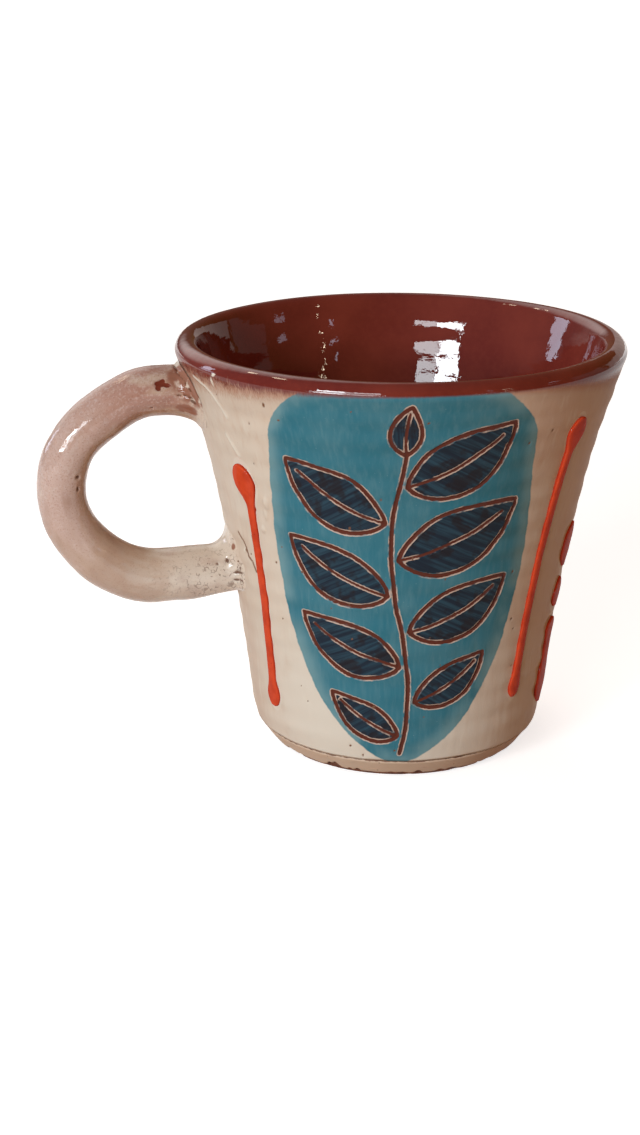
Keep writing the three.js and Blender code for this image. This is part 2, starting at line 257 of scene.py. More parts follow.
class Finish(Bench):
    """A material under construction."""

    def __init__(self, name):
        self.material = bpy.data.materials.new(name)
        self.material.use_nodes = True
        super().__init__(self.material.node_tree)

    def kept(self, name):
        """A number kept on the mesh."""
        return self.node("ShaderNodeAttribute", attribute_name=name).outputs["Fac"]

    def place(self, stretch=(1, 1, 1)):
        """Object coordinates in which a pattern is stretched along the axes."""
        here = self.node("ShaderNodeTexCoord").outputs["Object"]
        shrink = tuple(1 / length for length in stretch)
        return self.node("ShaderNodeMapping", {"Vector": here, "Scale": shrink}).outputs["Vector"]

    def strokes(self, along, across, shrink):
        """Coordinates from two lengths kept in mm, in which a pattern is drawn out along the first."""
        sockets = {"X": self.times(self.kept(along), shrink * MM), "Y": self.times(self.kept(across), MM)}
        return self.node("ShaderNodeCombineXYZ", sockets).outputs["Vector"]

    def grain(self, size, stretch=(1, 1, 1), detail=3.0, vector=None):
        """Smooth noise from 0 to 1 with lumps of a size in mm, stretched along the axes."""
        sockets = {"Vector": vector or self.place(stretch), "Scale": 1 / (size * MM), "Detail": detail}
        return self.node("ShaderNodeTexNoise", sockets).outputs["Fac"]

    def centred(self, pattern, amount):
        """A pattern from 0 to 1 moved to lie about 0, times an amount."""
        return self.times(self.plus(pattern, -0.5), amount)

    def tint(self, colour, tone, pattern, strength):
        """Lays a tone over a colour where a pattern says so."""
        return self.mix(self.times(pattern, strength), colour, tone)

    def spots(self, spacing, share, radius):
        """Round spots: 1 at the middle of each, in a share of the cells of a 3D pattern."""
        sockets = {"Vector": self.place(), "Scale": 1 / (spacing * MM)}
        cells = self.node("ShaderNodeTexVoronoi", sockets).outputs
        lot = self.node("ShaderNodeSeparateColor", {"Color": cells["Color"]}).outputs["Red"]
        near = self.rise(cells["Distance"], radius / spacing, 0.5 * radius / spacing)
        return self.times(self.calc("LESS_THAN", lot, share), near)

    def bump(self, height, depth, normal=None):
        """A normal tilted by a height pattern of a depth in mm, on top of another normal."""
        sockets = {"Height": height, "Distance": depth * MM}
        if normal:
            sockets["Normal"] = normal
        return self.node("ShaderNodeBump", sockets).outputs["Normal"]

    def fired(self, colour, roughness, specular, normal, coat, coat_roughness):
        """Ends the material as fired clay under a clear glaze."""
        sockets = {
            "Base Color": colour,
            "Roughness": roughness,
            "Specular IOR Level": specular,
            "Normal": normal,
            "Coat Normal": normal,
            "Coat Weight": coat,
            "Coat Roughness": coat_roughness,
        }
        shader = self.node("ShaderNodeBsdfPrincipled", sockets).outputs["BSDF"]
        self.node("ShaderNodeOutputMaterial", {"Surface": shader})
        return self.material


print("workbench ready, millimetre sizes")

# %% [markdown]
# The inside and the lip carry a brown-red glaze over the bare clay. It is glossy and a little wavy, darker
# where it lies thick and lighter where it breaks over the edge of the lip. The foot is left bare. One
# function gives the brown, because the slip coat fades into it under the lip.

# %% Brown glaze and bare clay
BROWN_DEEP = (0.130, 0.0165, 0.012)
BROWN_WARM = (0.200, 0.032, 0.020)
BARE_CLAY = (0.245, 0.085, 0.042)
BARE_CLAY_DARK = (0.11, 0.035, 0.018)


def brown_glaze(finish):
    """Colour of the brown glaze, as a socket of a finish."""
    cloud = finish.rise(finish.grain(14), 0.2, 0.85)
    mottle = finish.rise(finish.grain(1.1, detail=4), 0.4, 0.72)
    colour = finish.mix(cloud, BROWN_DEEP, BROWN_WARM)
    return finish.tint(colour, BROWN_WARM, mottle, 0.25)


def inside_glaze():
    """The brown glaze, wavy from throwing and from its own thickness."""
    finish = Finish("brown_gloss_glaze")
    wave = finish.bump(finish.grain(7, detail=2), 0.15)
    ridge = finish.bump(finish.grain(1.5, (5, 5, 1), 3), 0.025, wave)
    ripple = finish.bump(finish.grain(1.6, detail=2), 0.02, ridge)
    peel = finish.bump(finish.grain(0.5, detail=1), 0.005, ripple)
    return finish.fired(brown_glaze(finish), 0.2, 0.0, peel, 0.9, 0.015)


def bare_clay():
    """The gritty clay of the foot, without a glaze."""
    finish = Finish("bare_red_clay")
    colour = finish.mix(finish.rise(finish.grain(2.2, detail=5), 0.35, 0.65), BARE_CLAY_DARK, BARE_CLAY)
    colour = finish.mix(finish.spots(1.1, 0.4, 0.3), colour, BARE_CLAY_DARK)
    gritty = finish.bump(finish.grain(0.45, detail=4), 0.08)
    return finish.fired(colour, 0.75, 0.3, gritty, 0.0, 0.3)


print("brown glaze over", BARE_CLAY)

# %% [markdown]
# The body is turned on the wheel in one go, so its mesh is one closed profile: underside, foot, outside,
# lip, inside and floor. Throwing leaves faint rings that climb as a spiral, the rim is never quite round,
# and the wire that cuts the cup from the wheel leaves arcs under the foot. All three are real
# displacement here, because light on gloss shows them.

# %% Profile rows of the body
RESTING_BAND = 3.5  # flat width of the foot's ring
UNDERSIDE_HOLLOW = 0.35
SCORE_DEPTH = 0.3
SCORE_WIDTH = 0.6
POLE_RADIUS = 0.6  # the smallest ring, which is fanned shut
FOOT_EDGE_WIDTH = 0.5
FOOT_EDGE_HEIGHT = 0.35
LIP_TURNS = np.linspace(-RIM_LEAN, math.pi - RIM_LEAN, 40)  # over the lip, from outside to inside


def underside_rows():
    """Profile of the underside, a little hollow inside the ring that it rests on."""
    radius = np.linspace(POLE_RADIUS, FOOT_RADIUS - FOOT_EDGE_WIDTH, 44)
    hollow = ease(FOOT_RADIUS - radius, RESTING_BAND, RESTING_BAND + 4)
    return np.stack([radius, UNDERSIDE_HOLLOW * hollow], axis=-1)


def outside_rows():
    """Profile of the outside, with the scored line cut into it."""
    height = np.concatenate([
        np.linspace(FOOT_EDGE_HEIGHT, SCORE_HEIGHT + SCORE_WIDTH, 26),
        np.linspace(SCORE_HEIGHT + 2 * SCORE_WIDTH, WALL_TOP[1] - 1, 24),
    ])
    score = 1 - ease(abs(height - SCORE_HEIGHT), 0.1, SCORE_WIDTH / 2)
    return np.stack([clay_radius(height) - SCORE_DEPTH * score, height], axis=-1)


def lip_rows(turns):
    """Points round the lip at turns from level."""
    return LIP_CENTRE + LIP_RADIUS * np.stack([np.cos(turns), np.sin(turns)], axis=-1)


def inside_rows():
    """Profile of the inside wall, the rounded corner and the floor."""
    corner_top = FLOOR_HEIGHT + CORNER_HEIGHT
    lean = float(wall_lean(corner_top))
    low = np.array([clay_radius(corner_top) - WALL_THICKNESS, corner_top])
    high = LIP_CENTRE - LIP_SIDE
    share = np.linspace(1, 0, 76)[1:]
    wall_radius = bezier(share, *wall_radii(low, lean, high, RIM_LEAN))
    wall_height = low[1] + share * (high[1] - low[1])
    floor_edge = np.array([low[0] - CORNER_WIDTH, FLOOR_HEIGHT])
    bend = np.array([low[0] - CORNER_HEIGHT * math.tan(lean), FLOOR_HEIGHT])
    corner = bezier(np.linspace(0, 1, 18)[1:, None], low, bend, floor_edge)
    floor_radius = np.linspace(floor_edge[0], POLE_RADIUS, 16)[1:]
    floor = np.stack([floor_radius, np.full_like(floor_radius, FLOOR_HEIGHT)], axis=-1)
    return np.vstack([np.stack([wall_radius, wall_height], axis=-1), corner, floor])


profile_parts = [underside_rows(), outside_rows(), lip_rows(LIP_TURNS), inside_rows()]
print("profile rows:", [len(rows) for rows in profile_parts])

# %% Body of the cup
BODY_COLUMNS = 320
RING_PITCH = 5.2  # rise of the throwing spiral for each turn
INSIDE_RINGS = 0.06
INSIDE_LUMPS = 0.1
RIM_WAVE = 0.12
azimuths = np.arange(BODY_COLUMNS) * 360 / BODY_COLUMNS
profile = np.vstack(profile_parts)
body_grid = turned(profile[:, :1], profile[:, 1:], azimuths)
underside_count = len(profile_parts[0])
lip_start = underside_count + len(profile_parts[1])
lip_end = lip_start + len(LIP_TURNS)


def throwing_rings(points, azimuth, lift):
    """Height of the throwing spiral, raised by a lift in mm and fading in and out over the wall."""
    spiral = np.sin(2 * np.pi * ((points[..., 2] - lift) / RING_PITCH - azimuth / 360))
    return spiral * (0.6 + 0.8 * lumps(points, 24, 3))


def outwards(points):
    """Unit vectors that point straight away from the cup's axis."""
    flat = points * (1, 1, 0)
    return flat / np.maximum(np.linalg.norm(flat, axis=-1, keepdims=True), 1e-6)


uneven = INSIDE_RINGS * throwing_rings(body_grid, azimuths, 2.2) + INSIDE_LUMPS * lumps(body_grid, 16, 1)
uneven[:lip_start] = 0
uneven[lip_start:lip_end] *= ease(np.degrees(LIP_TURNS)[:, None], 25, 75)
body_grid += uneven[..., None] * outwards(body_grid)


def rim_dip(points, azimuth):
    """How far the uneven rim lies below its full height, fading out down the wall."""
    wave = RIM_WAVE * lumps(turned(30.0, 0.0, azimuth), 22, 5) - RIM_WAVE
    return wave * ease(points[..., 2], CUP_HEIGHT - 14, CUP_HEIGHT - 2)


body_grid[..., 2] += rim_dip(body_grid, azimuths)
print("rim up to", round(float(body_grid[..., 2].max()), 2), "mm high")

# %% Wire marks and chips under the foot
WIRE_CENTRE = np.array([48.0, -30.0])
WIRE_PITCH = 2.6
WIRE_DEPTH = 0.12
FOOT_CHIP_DEPTH = 1.2
FOOT_CHIP_HEIGHT = 0.5
underside = body_grid[:underside_count]
wire_reach = np.hypot(underside[..., 0] - WIRE_CENTRE[0], underside[..., 1] - WIRE_CENTRE[1])
wire_mark = 0.5 + 0.5 * np.sin(2 * np.pi * wire_reach / WIRE_PITCH + 2 * lumps(underside, 9, 8))
from_foot_edge = FOOT_RADIUS - np.hypot(underside[..., 0], underside[..., 1])
inner_share = ease(from_foot_edge, RESTING_BAND, RESTING_BAND + 2)
underside[..., 2] += WIRE_DEPTH * wire_mark * inner_share
foot_edge = body_grid[underside_count - 2 : underside_count + 8]
foot_chips = np.clip(lumps(foot_edge, (5, 5, 3), 12) - 0.12, 0, 1)
foot_edge -= (FOOT_CHIP_DEPTH * foot_chips)[..., None] * outwards(foot_edge)
foot_edge[..., 2] += FOOT_CHIP_HEIGHT * foot_chips

cup_body = skin("cup_body_clay", body_grid)
cup_body.data.materials.append(inside_glaze())
cup_body.data.materials.append(bare_clay())
bare_faces = (lip_start - 1) * BODY_COLUMNS
slots = np.zeros(len(cup_body.data.polygons), np.int32)
slots[:bare_faces] = 1
slots[-2 * BODY_COLUMNS : -BODY_COLUMNS] = 1
cup_body.data.polygons.foreach_set("material_index", slots)
dress(cup_body, "red_clay", "cup_body")

# %% [markdown]
# The trails and dabs are thick red slip squeezed from a bulb: a fat head where the bulb starts, a thinner
# line as it moves, and a drop where it stops. A line drawn on the wall keeps half the width at each point,
# and Geometry Nodes give it a body: a round section, laid flat on the wall and limited in height. Changing
# the line or an input changes the trail, which a modelled mesh wouldn't allow.

# %% Where the trails run
COAT_THICKNESS = 0.6
SIDE_AZIMUTH = -31.2
BEAD_RISE = 0.65
SIDE_RISE = 0.5
TRAILS = {
    "left_trail": {
        "top": (207, CUP_HEIGHT - 21.6), "tip": (202.4, 12.6), "rise": BEAD_RISE,
        "head": (6.4, 9.5, 0.5), "line": 2.3, "drop": (4.1, 7, 0.62), "lean": -1.5,
    },
    "right_trail": {
        "top": (308, CUP_HEIGHT - 11), "tip": (303.4, 16.4), "rise": BEAD_RISE,
        "head": (5, 8, 0.5), "line": 2.2, "drop": (3.3, 7, 0.62), "lean": 0.6,
    },
    "side_trail": {
        "top": (SIDE_AZIMUTH, 30.2), "tip": (SIDE_AZIMUTH, 10.2), "rise": SIDE_RISE,
        "head": (6.6, 6, 0.5), "line": 5, "drop": (7.8, 12, 0.8), "lean": 0,
    },
    "side_dab_upper": {
        "top": (SIDE_AZIMUTH, 52.4), "tip": (SIDE_AZIMUTH, 41.8), "rise": SIDE_RISE,
        "head": (7.9, 12, 0.8), "line": 7.7, "drop": (7.9, 12, 1), "lean": 0,
    },
    "side_dab_lower": {
        "top": (SIDE_AZIMUTH, 39.8), "tip": (SIDE_AZIMUTH, 32.6), "rise": SIDE_RISE,
        "head": (6.3, 8, 1), "line": 6.1, "drop": (6.3, 8, 1), "lean": 0,
    },
}
TRAIL_STEPS = 120
PEAK_SHARE = 0.42  # where a head or a drop is widest
LEAST_OPENING = 0.0004  # keeps a trail's end from closing to a point
TRAIL_WANDER = 0.2
WIDTH_WANDER = 0.08


def bead_width(distance, line, width, length, bluntness):
    """Width of a trail near an end: it opens like a drop up to its peak and then eases down to the line."""
    peak = PEAK_SHARE * length
    opening = np.clip(distance / peak, 0, 1)
    opened = np.maximum(1 - (1 - opening) ** 2, LEAST_OPENING) ** bluntness
    return (line + (width - line) * (1 - ease(distance, peak, length))) * opened


def trail_course(shape, name):
    """Azimuth, height and width along a trail, from its head to its tip."""
    share = 0.5 - 0.5 * np.cos(np.linspace(0, np.pi, TRAIL_STEPS))
    length = shape["top"][1] - shape["tip"][1]
    azimuth = shape["top"][0] + share * (shape["tip"][0] - shape["top"][0])
    height = shape["top"][1] - share * length
    from_top = share * length
    from_tip = length - from_top
    head = bead_width(from_top, shape["line"], *shape["head"])
    drop = bead_width(from_tip, shape["line"], *shape["drop"])
    width = head * drop / shape["line"]
    seed = sorted(TRAILS).index(name)
    wander = lumps(turned(12.0, height, azimuth), 7, 20 + seed)
    sideways = shape["lean"] * (1 - ease(from_top, 0, shape["head"][1]))
    sideways += TRAIL_WANDER * wander * np.sin(np.pi * share)
    azimuth = azimuth + np.degrees(sideways / clay_radius(height))
    return azimuth, height, width * (1 + WIDTH_WANDER * wander)


courses = {name: trail_course(shape, name) for name, shape in TRAILS.items()}
print("trail widths:", {name: round(float(course[2].max()), 1) for name, course in courses.items()})

# %% Node tree that gives a trail its body
LUMP_SPAN = 2.5
TRAIL_INPUTS = {
    "Course": "NodeSocketGeometry",
    "Sides": "NodeSocketInt",
    "Flatness": "NodeSocketFloat",
    "Greatest rise": "NodeSocketFloat",
    "Crown": "NodeSocketFloat",
    "Lump": "NodeSocketFloat",
    "Slip": "NodeSocketMaterial",
}


def trail_tree():
    """Geometry Nodes: a line of points with half widths becomes a low, rounded bead on the wall."""
    tree = bpy.data.node_groups.new("slip_trail", "GeometryNodeTree")
    bench = Bench(tree)
    tree.interface.new_socket("Bead", in_out="OUTPUT", socket_type="NodeSocketGeometry")
    for name, kind in TRAIL_INPUTS.items():
        tree.interface.new_socket(name, in_out="INPUT", socket_type=kind)
    given = bench.node("NodeGroupInput").outputs
    here = bench.node("GeometryNodeInputPosition").outputs[0]
    level = bench.vector("MULTIPLY", here, (1, 1, 0))[0]
    away = bench.vector("NORMALIZE", level)[0]
    width = bench.node("GeometryNodeInputNamedAttribute", {"Name": "half_width"}).outputs[0]
    course = bench.node("GeometryNodeMeshToCurve", {"Mesh": given["Course"]}).outputs[0]
    sockets = {"Curve": course, "Normal": away}
    course = bench.node("GeometryNodeSetCurveNormal", sockets, mode="FREE").outputs[0]
    caught = bench.node("GeometryNodeCaptureAttribute", {"Geometry": course})
    caught_values = {"centre": ("VECTOR", here), "away": ("VECTOR", away), "half": ("FLOAT", width)}
    for name, (kind, source) in caught_values.items():
        caught.capture_items.new(kind, name)
        tree.links.new(source, caught.inputs[name])
    ring = bench.node("GeometryNodeCurvePrimitiveCircle", {"Resolution": given["Sides"], "Radius": 1.0})
    sockets = {"Curve": caught.outputs["Geometry"], "Profile Curve": ring.outputs[0], "Fill Caps": True}
    tube = bench.node("GeometryNodeCurveToMesh", {**sockets, "Scale": caught.outputs["half"]}).outputs[0]
    return flattened(bench, given, caught.outputs, here, tube)


def flattened(bench, given, caught, here, tube):
    """The second half of the tree: the round tube is laid flat on the wall and made a little lumpy."""
    offset = bench.vector("SUBTRACT", here, caught["centre"])[0]
    lift = bench.vector("DOT_PRODUCT", offset, caught["away"])["Value"]
    share = bench.calc("DIVIDE", lift, caught["half"])
    sockets = {"Geometry": tube, "Name": "rise", "Value": share}
    tube = bench.node("GeometryNodeStoreNamedAttribute", sockets).outputs[0]
    tall = bench.calc("MINIMUM", bench.times(caught["half"], given["Flatness"]), given["Greatest rise"])
    size = bench.calc("POWER", bench.calc("ABSOLUTE", share), given["Crown"])
    level = bench.times(bench.times(size, bench.calc("SIGN", share)), tall)
    lump = bench.node("ShaderNodeTexNoise", {"Scale": 1 / (LUMP_SPAN * MM), "Detail": 1.0}).outputs["Fac"]
    lump = bench.times(bench.plus(lump, -0.5), given["Lump"])
    shift = bench.plus(bench.calc("SUBTRACT", level, lift), lump)
    sockets = {0: caught["away"], "Scale": shift}
    move = bench.node("ShaderNodeVectorMath", sockets, operation="SCALE").outputs[0]
    bead = bench.node("GeometryNodeSetPosition", {"Geometry": tube, "Offset": move}).outputs[0]
    bead = bench.node("GeometryNodeSetShadeSmooth", {"Geometry": bead}).outputs[0]
    bead = bench.node("GeometryNodeRealizeInstances", {"Geometry": bead}).outputs[0]
    bead = bench.node("GeometryNodeSetMaterial", {"Geometry": bead, "Material": given["Slip"]}).outputs[0]
    bench.node("NodeGroupOutput", {0: bead})
    return bench.tree


slip_trail_tree = trail_tree()
print("trail tree:", len(slip_trail_tree.nodes), "nodes")

# %% [markdown]
# The red slip is a strong orange-red under a thin glaze, with small dark specks in it. Down the steep sides
# of each bead the colour is painted darker, as painted shade. The tree above kept the share of the rise at
# each point, so this painted shade follows each bead's shape.

# %% Red slip
SLIP_RED = (0.67, 0.074, 0.024)
SLIP_RED_DEEP_AND_SHADE = (0.33, 0.018, 0.008)


def red_slip():
    """The slip of the trails and dabs."""
    finish = Finish("orange_red_slip")
    cloud = finish.rise(finish.grain(3), 0.35, 0.75)
    colour = finish.tint(SLIP_RED, SLIP_RED_DEEP_AND_SHADE, cloud, 0.45)
    # Painted shade: darker red down the steep sides of the bead.
    edge = finish.rise(finish.kept("rise"), 0.3, 0.05)
    colour = finish.tint(colour, SLIP_RED_DEEP_AND_SHADE, edge, 0.5)
    colour = finish.tint(colour, SLIP_RED_DEEP_AND_SHADE, finish.spots(1.3, 0.2, 0.16), 0.6)
    ripple = finish.bump(finish.grain(1.2, detail=2), 0.03)
    return finish.fired(colour, 0.35, 0.0, ripple, 0.12, 0.05)


print("red slip", SLIP_RED)

# %% Trails and dabs


def settle(piece, tree, values):
    """Runs a node tree on a piece with the given inputs and leaves the result as its plain mesh."""
    modifier = piece.modifiers.new("maker", "NODES")
    modifier.node_group = tree
    for item in tree.interface.items_tree:
        if item.in_out == "INPUT" and item.name in values:
            modifier[item.identifier] = values[item.name]
    depsgraph = bpy.context.evaluated_depsgraph_get()
    made = bpy.data.meshes.new_from_object(piece.evaluated_get(depsgraph))
    piece.modifiers.remove(modifier)
    piece.data = made


def trail_piece(name, slip):
    """Draws a trail's course on the slip coat and lets the node tree turn it into a bead."""
    azimuth, height, width = courses[name]
    points = turned(clay_radius(height) + COAT_THICKNESS, height, azimuth)
    edges = [(step, step + 1) for step in range(TRAIL_STEPS - 1)]
    draft = meshed(f"{name}_bead", points, edges, [])
    keep(draft, "half_width", width / 2 * MM)
    values = {
        "Sides": 36,
        "Flatness": 0.62,
        "Greatest rise": TRAILS[name]["rise"] * MM,
        "Crown": 0.6,
        "Lump": 0.12 * MM,
        "Slip": slip,
    }
    settle(draft, slip_trail_tree, values)
    return draft


red = red_slip()
for trail_name in TRAILS:
    dress(trail_piece(trail_name, red), "red_slip", trail_name)

# %% [markdown]
# The front of the cup is painted: a turquoise wash in one tall panel, a stem that sways up through it, and
# navy leaves to both sides. The outlines are scratched through the slip with a point, so each line is a
# shallow groove with a raised burr along it, and the brown clay shows at the bottom. The drawing is made
# flat, in millimetres across and up the panel, and each point of the wall then gets its distance to the
# drawing's lines. A distance gives a crisp edge at any zoom, which a painted picture wouldn't.

# %% Drawing tools


def line_distance(points, line):
    """Shortest distance from points to a line of straight steps, all in mm."""
    best = np.full(len(points), np.inf)
    for start, end in zip(line[:-1], line[1:]):
        span = end - start
        share = np.clip((points - start) @ span / (span @ span), 0, 1)
        best = np.minimum(best, np.linalg.norm(points - start - share[:, None] * span, axis=1))
    return best


def is_inside(points, outline):
    """Whether points lie inside a closed outline, by counting the crossings to one side."""
    odd = np.zeros(len(points), bool)
    for start, end in zip(outline[:-1], outline[1:]):
        if start[1] == end[1]:
            continue
        spans = (start[1] > points[:, 1]) != (end[1] > points[:, 1])
        crossing = start[0] + (points[:, 1] - start[1]) * (end[0] - start[0]) / (end[1] - start[1])
        odd ^= spans & (points[:, 0] < crossing)
    return odd


def depth_inside(points, outline):
    """Distance to an outline, positive inside it."""
    return line_distance(points, outline) * np.where(is_inside(points, outline), 1, -1)


print("drawing tools ready")

# %% The panel and its leaves
PANEL_AZIMUTH = 256
PANEL_LOW = 5.0
PANEL_HALF_WIDTH = 28.5
TONGUE_SHARE = 0.75  # share of the panel's height over which it widens
SHOULDER_DROP = 13  # how far below the rim the panel starts to round off
SHOULDER_REACH = 16
STEM_SWAY = 2.0
SWAY_LENGTH = 66
LEAF_COUNT = 8
LEAF_MARGIN = 4.2  # from a leaf's tip to the panel's edge
FIRST_LEAF = 11.5
LEAF_SPACING = 8.1
LEAF_LIFT = 9.5  # how much higher the tip of the lowest leaf is than its base
LIFT_STEP = 0.5
STALK = 1.4
LEAF_BOW = 0.12
LEAF_PLUMPNESS = 0.47  # width of a leaf as a share of its length
TOP_LEAF = (1.0, 10.5)
TOP_LEAF_WIDTH = 6.2


def panel_half_width(height):
    """Half the panel's width: a tongue that widens upwards, with round shoulders."""
    share = np.clip((height - PANEL_LOW) / (CUP_HEIGHT - PANEL_LOW), 0, 1)
    tongue = np.sin(np.pi / 2 * np.minimum(1, share / TONGUE_SHARE) ** 0.6)
    shoulder = np.sqrt(1 - np.clip((height - CUP_HEIGHT + SHOULDER_DROP) / SHOULDER_REACH, 0, 0.95) ** 2)
    return PANEL_HALF_WIDTH * tongue * shoulder


def panel_outline():
    """The panel's edge, up one side and down the other."""
    height = PANEL_LOW + (CUP_HEIGHT + 2 - PANEL_LOW) * np.linspace(0, 1, 90) ** 1.6
    side = np.stack([panel_half_width(height), height], axis=-1)
    return np.vstack([side, side[::-1] * (-1, 1)])


def stem_sway(height):
    """How far the stem lies to the right of the panel's middle."""
    return STEM_SWAY * np.sin(2 * np.pi * (height - PANEL_LOW) / SWAY_LENGTH)


def leaf_shape(base, tip, bow, width):
    """Outline and midrib of a leaf on a bowed axis, swelling near its base and closing at both ends."""
    along = np.linspace(0, 1, 36)[:, None]
    chord = tip - base
    across = np.array([-chord[1], chord[0]])
    midrib = bezier(along, base, (base + tip) / 2 + bow * across, tip)
    heading = np.gradient(midrib, axis=0)
    side = heading[:, ::-1] * (-1, 1) / np.linalg.norm(heading, axis=1, keepdims=True)
    half = width / 2 * np.sin(np.pi * along**0.82) ** 0.85
    outline = np.vstack([midrib + half * side, (midrib - half * side)[-2::-1]])
    return outline, midrib


def sprig():
    """The stem and the leaves, smaller towards the foot as the panel narrows."""
    leaves = []
    for number in range(LEAF_COUNT):
        side = -1 if number % 2 == 0 else 1
        foot = FIRST_LEAF + LEAF_SPACING * number
        lift = LEAF_LIFT + LIFT_STEP * number
        base = np.array([stem_sway(foot) + side * STALK, foot])
        tip = np.array([side * (panel_half_width(foot + lift) - LEAF_MARGIN), foot + lift])
        width = LEAF_PLUMPNESS * np.linalg.norm(tip - base)
        leaves.append(leaf_shape(base, tip, -LEAF_BOW * side, width))
    crown = FIRST_LEAF + LEAF_SPACING * LEAF_COUNT - 1
    base = np.array([stem_sway(crown), crown])
    leaves.append(leaf_shape(base, base + TOP_LEAF, 0.1, TOP_LEAF_WIDTH))
    height = np.linspace(PANEL_LOW + 2.5, crown, 60)
    return leaves, np.stack([stem_sway(height), height], axis=-1)


leaves, stem = sprig()
print(len(leaves), "leaves on a stem", round(float(np.ptp(stem[:, 1]))), "mm long")

# %% [markdown]
# The coat of slip is a thin shell over the wall, closed along both edges. Its grid is fine over the painted
# panel, where the grooves need it, and coarse at the plain back. It thins out under the lip, so that the
# brown glaze takes over without a step.

# %% Grid of the slip coat
ROW_STEP = 0.36
COAT_LOW = SCORE_HEIGHT + SCORE_WIDTH / 2
COAT_BOND = 0.02
LIP_OVERLAP = math.radians(34)
COLUMN_SPANS = ((190, 212, 0.36), (212, 298, 0.4), (298, 312, 0.8), (312, 550, 2.5))


def coat_azimuths():
    """Azimuths of the coat's columns, close together at the front."""
    counts = [round((end - start) / step) for start, end, step in COLUMN_SPANS]
    spans = zip(COLUMN_SPANS, counts)
    return np.concatenate([np.linspace(start, end, count, False) for (start, end, _), count in spans])


wall_heights = np.arange(COAT_LOW, WALL_TOP[1], ROW_STEP)
overlap_turns = np.linspace(-RIM_LEAN, LIP_OVERLAP, 9)
overlap = lip_rows(overlap_turns)
facing = np.concatenate([-wall_lean(wall_heights), overlap_turns])[:, None]
coat_radius = np.concatenate([clay_radius(wall_heights), overlap[:, 0]])[:, None]
coat_height = np.concatenate([wall_heights, overlap[:, 1]])[:, None]
coat_azimuth = coat_azimuths()[None, :]
coat_points = turned(coat_radius, coat_height, coat_azimuth)
print("coat grid:", coat_points.shape[:2])

# %% Distances to the drawing
LINE_HALF_WIDTH = 0.43
THIN_LINE_HALF_WIDTH = 0.3
FAR = 9.0
FRONT_REACH = 46  # degrees to each side of the panel's middle
HAND_WAVER = 0.35
LEAF_HALO = 3
STROKE_SHIFT = 40  # moves the brush strokes along from leaf to leaf


def swing(azimuth, middle):
    """Turn in degrees from a middle azimuth, from -180 to 180."""
    return (azimuth - middle + 180) % 360 - 180


panel_turn = swing(coat_azimuth, PANEL_AZIMUTH)
across = np.radians(panel_turn) * (coat_radius + COAT_THICKNESS)
front = np.broadcast_to(abs(panel_turn) < FRONT_REACH, across.shape)
flat = np.stack([across, np.broadcast_to(coat_height, across.shape)], axis=-1)[front]
flat += HAND_WAVER * np.stack([lumps(coat_points[front], 8, seed) for seed in (31, 32)], axis=-1)

panel_depth = depth_inside(flat, panel_outline())
line_gap = line_distance(flat, stem) - LINE_HALF_WIDTH
leaf_depth = np.full(len(flat), -FAR)
leaf_along = np.zeros(len(flat))
leaf_across = np.zeros(len(flat))
for number, (outline, midrib) in enumerate(leaves):
    low, high = outline.min(axis=0) - LEAF_HALO, outline.max(axis=0) + LEAF_HALO
    near = np.flatnonzero(((flat > low) & (flat < high)).all(axis=1))
    depth = depth_inside(flat[near], outline)
    rib = line_distance(flat[near], midrib[:-5]) - THIN_LINE_HALF_WIDTH
    line_gap[near] = np.minimum(line_gap[near], np.minimum(abs(depth) - LINE_HALF_WIDTH, rib))
    heading = midrib[-1] - midrib[0]
    heading = heading / np.linalg.norm(heading)
    mine = near[depth > leaf_depth[near]]
    leaf_depth[near] = np.maximum(leaf_depth[near], depth)
    leaf_along[mine] = (flat[mine] - midrib[0]) @ heading + STROKE_SHIFT * number
    leaf_across[mine] = (flat[mine] - midrib[0]) @ heading[::-1] * (1 if number % 2 else -1)
print("painted points:", int((leaf_depth > 0).sum()), "in leaves,", int((line_gap < 0).sum()), "in lines")


def on_coat(values, elsewhere):
    """Spreads numbers of the front's points over the whole coat."""
    whole = np.full(across.shape, float(elsewhere))
    whole[front] = values
    return whole


painted = {
    "panel": on_coat(panel_depth, -FAR),
    "line": on_coat(np.minimum(line_gap, FAR), FAR),
    "leaf": on_coat(leaf_depth, -FAR),
    "leaf_along": on_coat(leaf_along, 0),
    "leaf_across": on_coat(leaf_across, 0),
}

# %% Where the slip ends, and where painted light and painted shade lie on it
FRONT_AZIMUTH = 270
SHORT_AZIMUTH = 325  # where the brush stopped short of the lip
SHORT_SPAN = 20


def bell(value, width):
    """1 where a value is 0, falling off to both sides like a bell of a width."""
    return np.exp(-((value / width) ** 2))


def beside(middle, span):
    """1 at an azimuth of the coat, falling off to both sides over a span in degrees."""
    return bell(swing(coat_azimuth, middle), span)


front_share = 0.5 + 0.5 * np.cos(np.radians(coat_azimuth - FRONT_AZIMUTH))
short_side = beside(SHORT_AZIMUTH, SHORT_SPAN)


def slip_edge():
    """Height where the brushed slip ends under the lip, lower by the handle than at the front."""
    return CUP_HEIGHT - 4.0 + 1.8 * front_share**4 - 0.9 * short_side


def slip_fade():
    """How far the brushed edge of the slip fades out, in mm: far by the handle, little at the front."""
    return 4.6 - 4.0 * front_share**2 + 0.8 * short_side


def brushed():
    """How much the brush shows in the edge of the slip: little at the front, most by the handle."""
    turn = abs(swing(coat_azimuth, FRONT_AZIMUTH))
    return 0.15 + 0.85 * ease(turn, 28, 60) * (1 - 0.7 * short_side)


def painted_light_on_slip():
    """Painted light: the slip is painted whiter on the left front, where the window light falls, and low
    along the foot at the front.
    """
    left = beside(230, 40) * (1 - ease(coat_height, 22, 70))
    foot = beside(268, 24) * (1 - ease(coat_height, 8, 24))
    return np.maximum(left, foot)


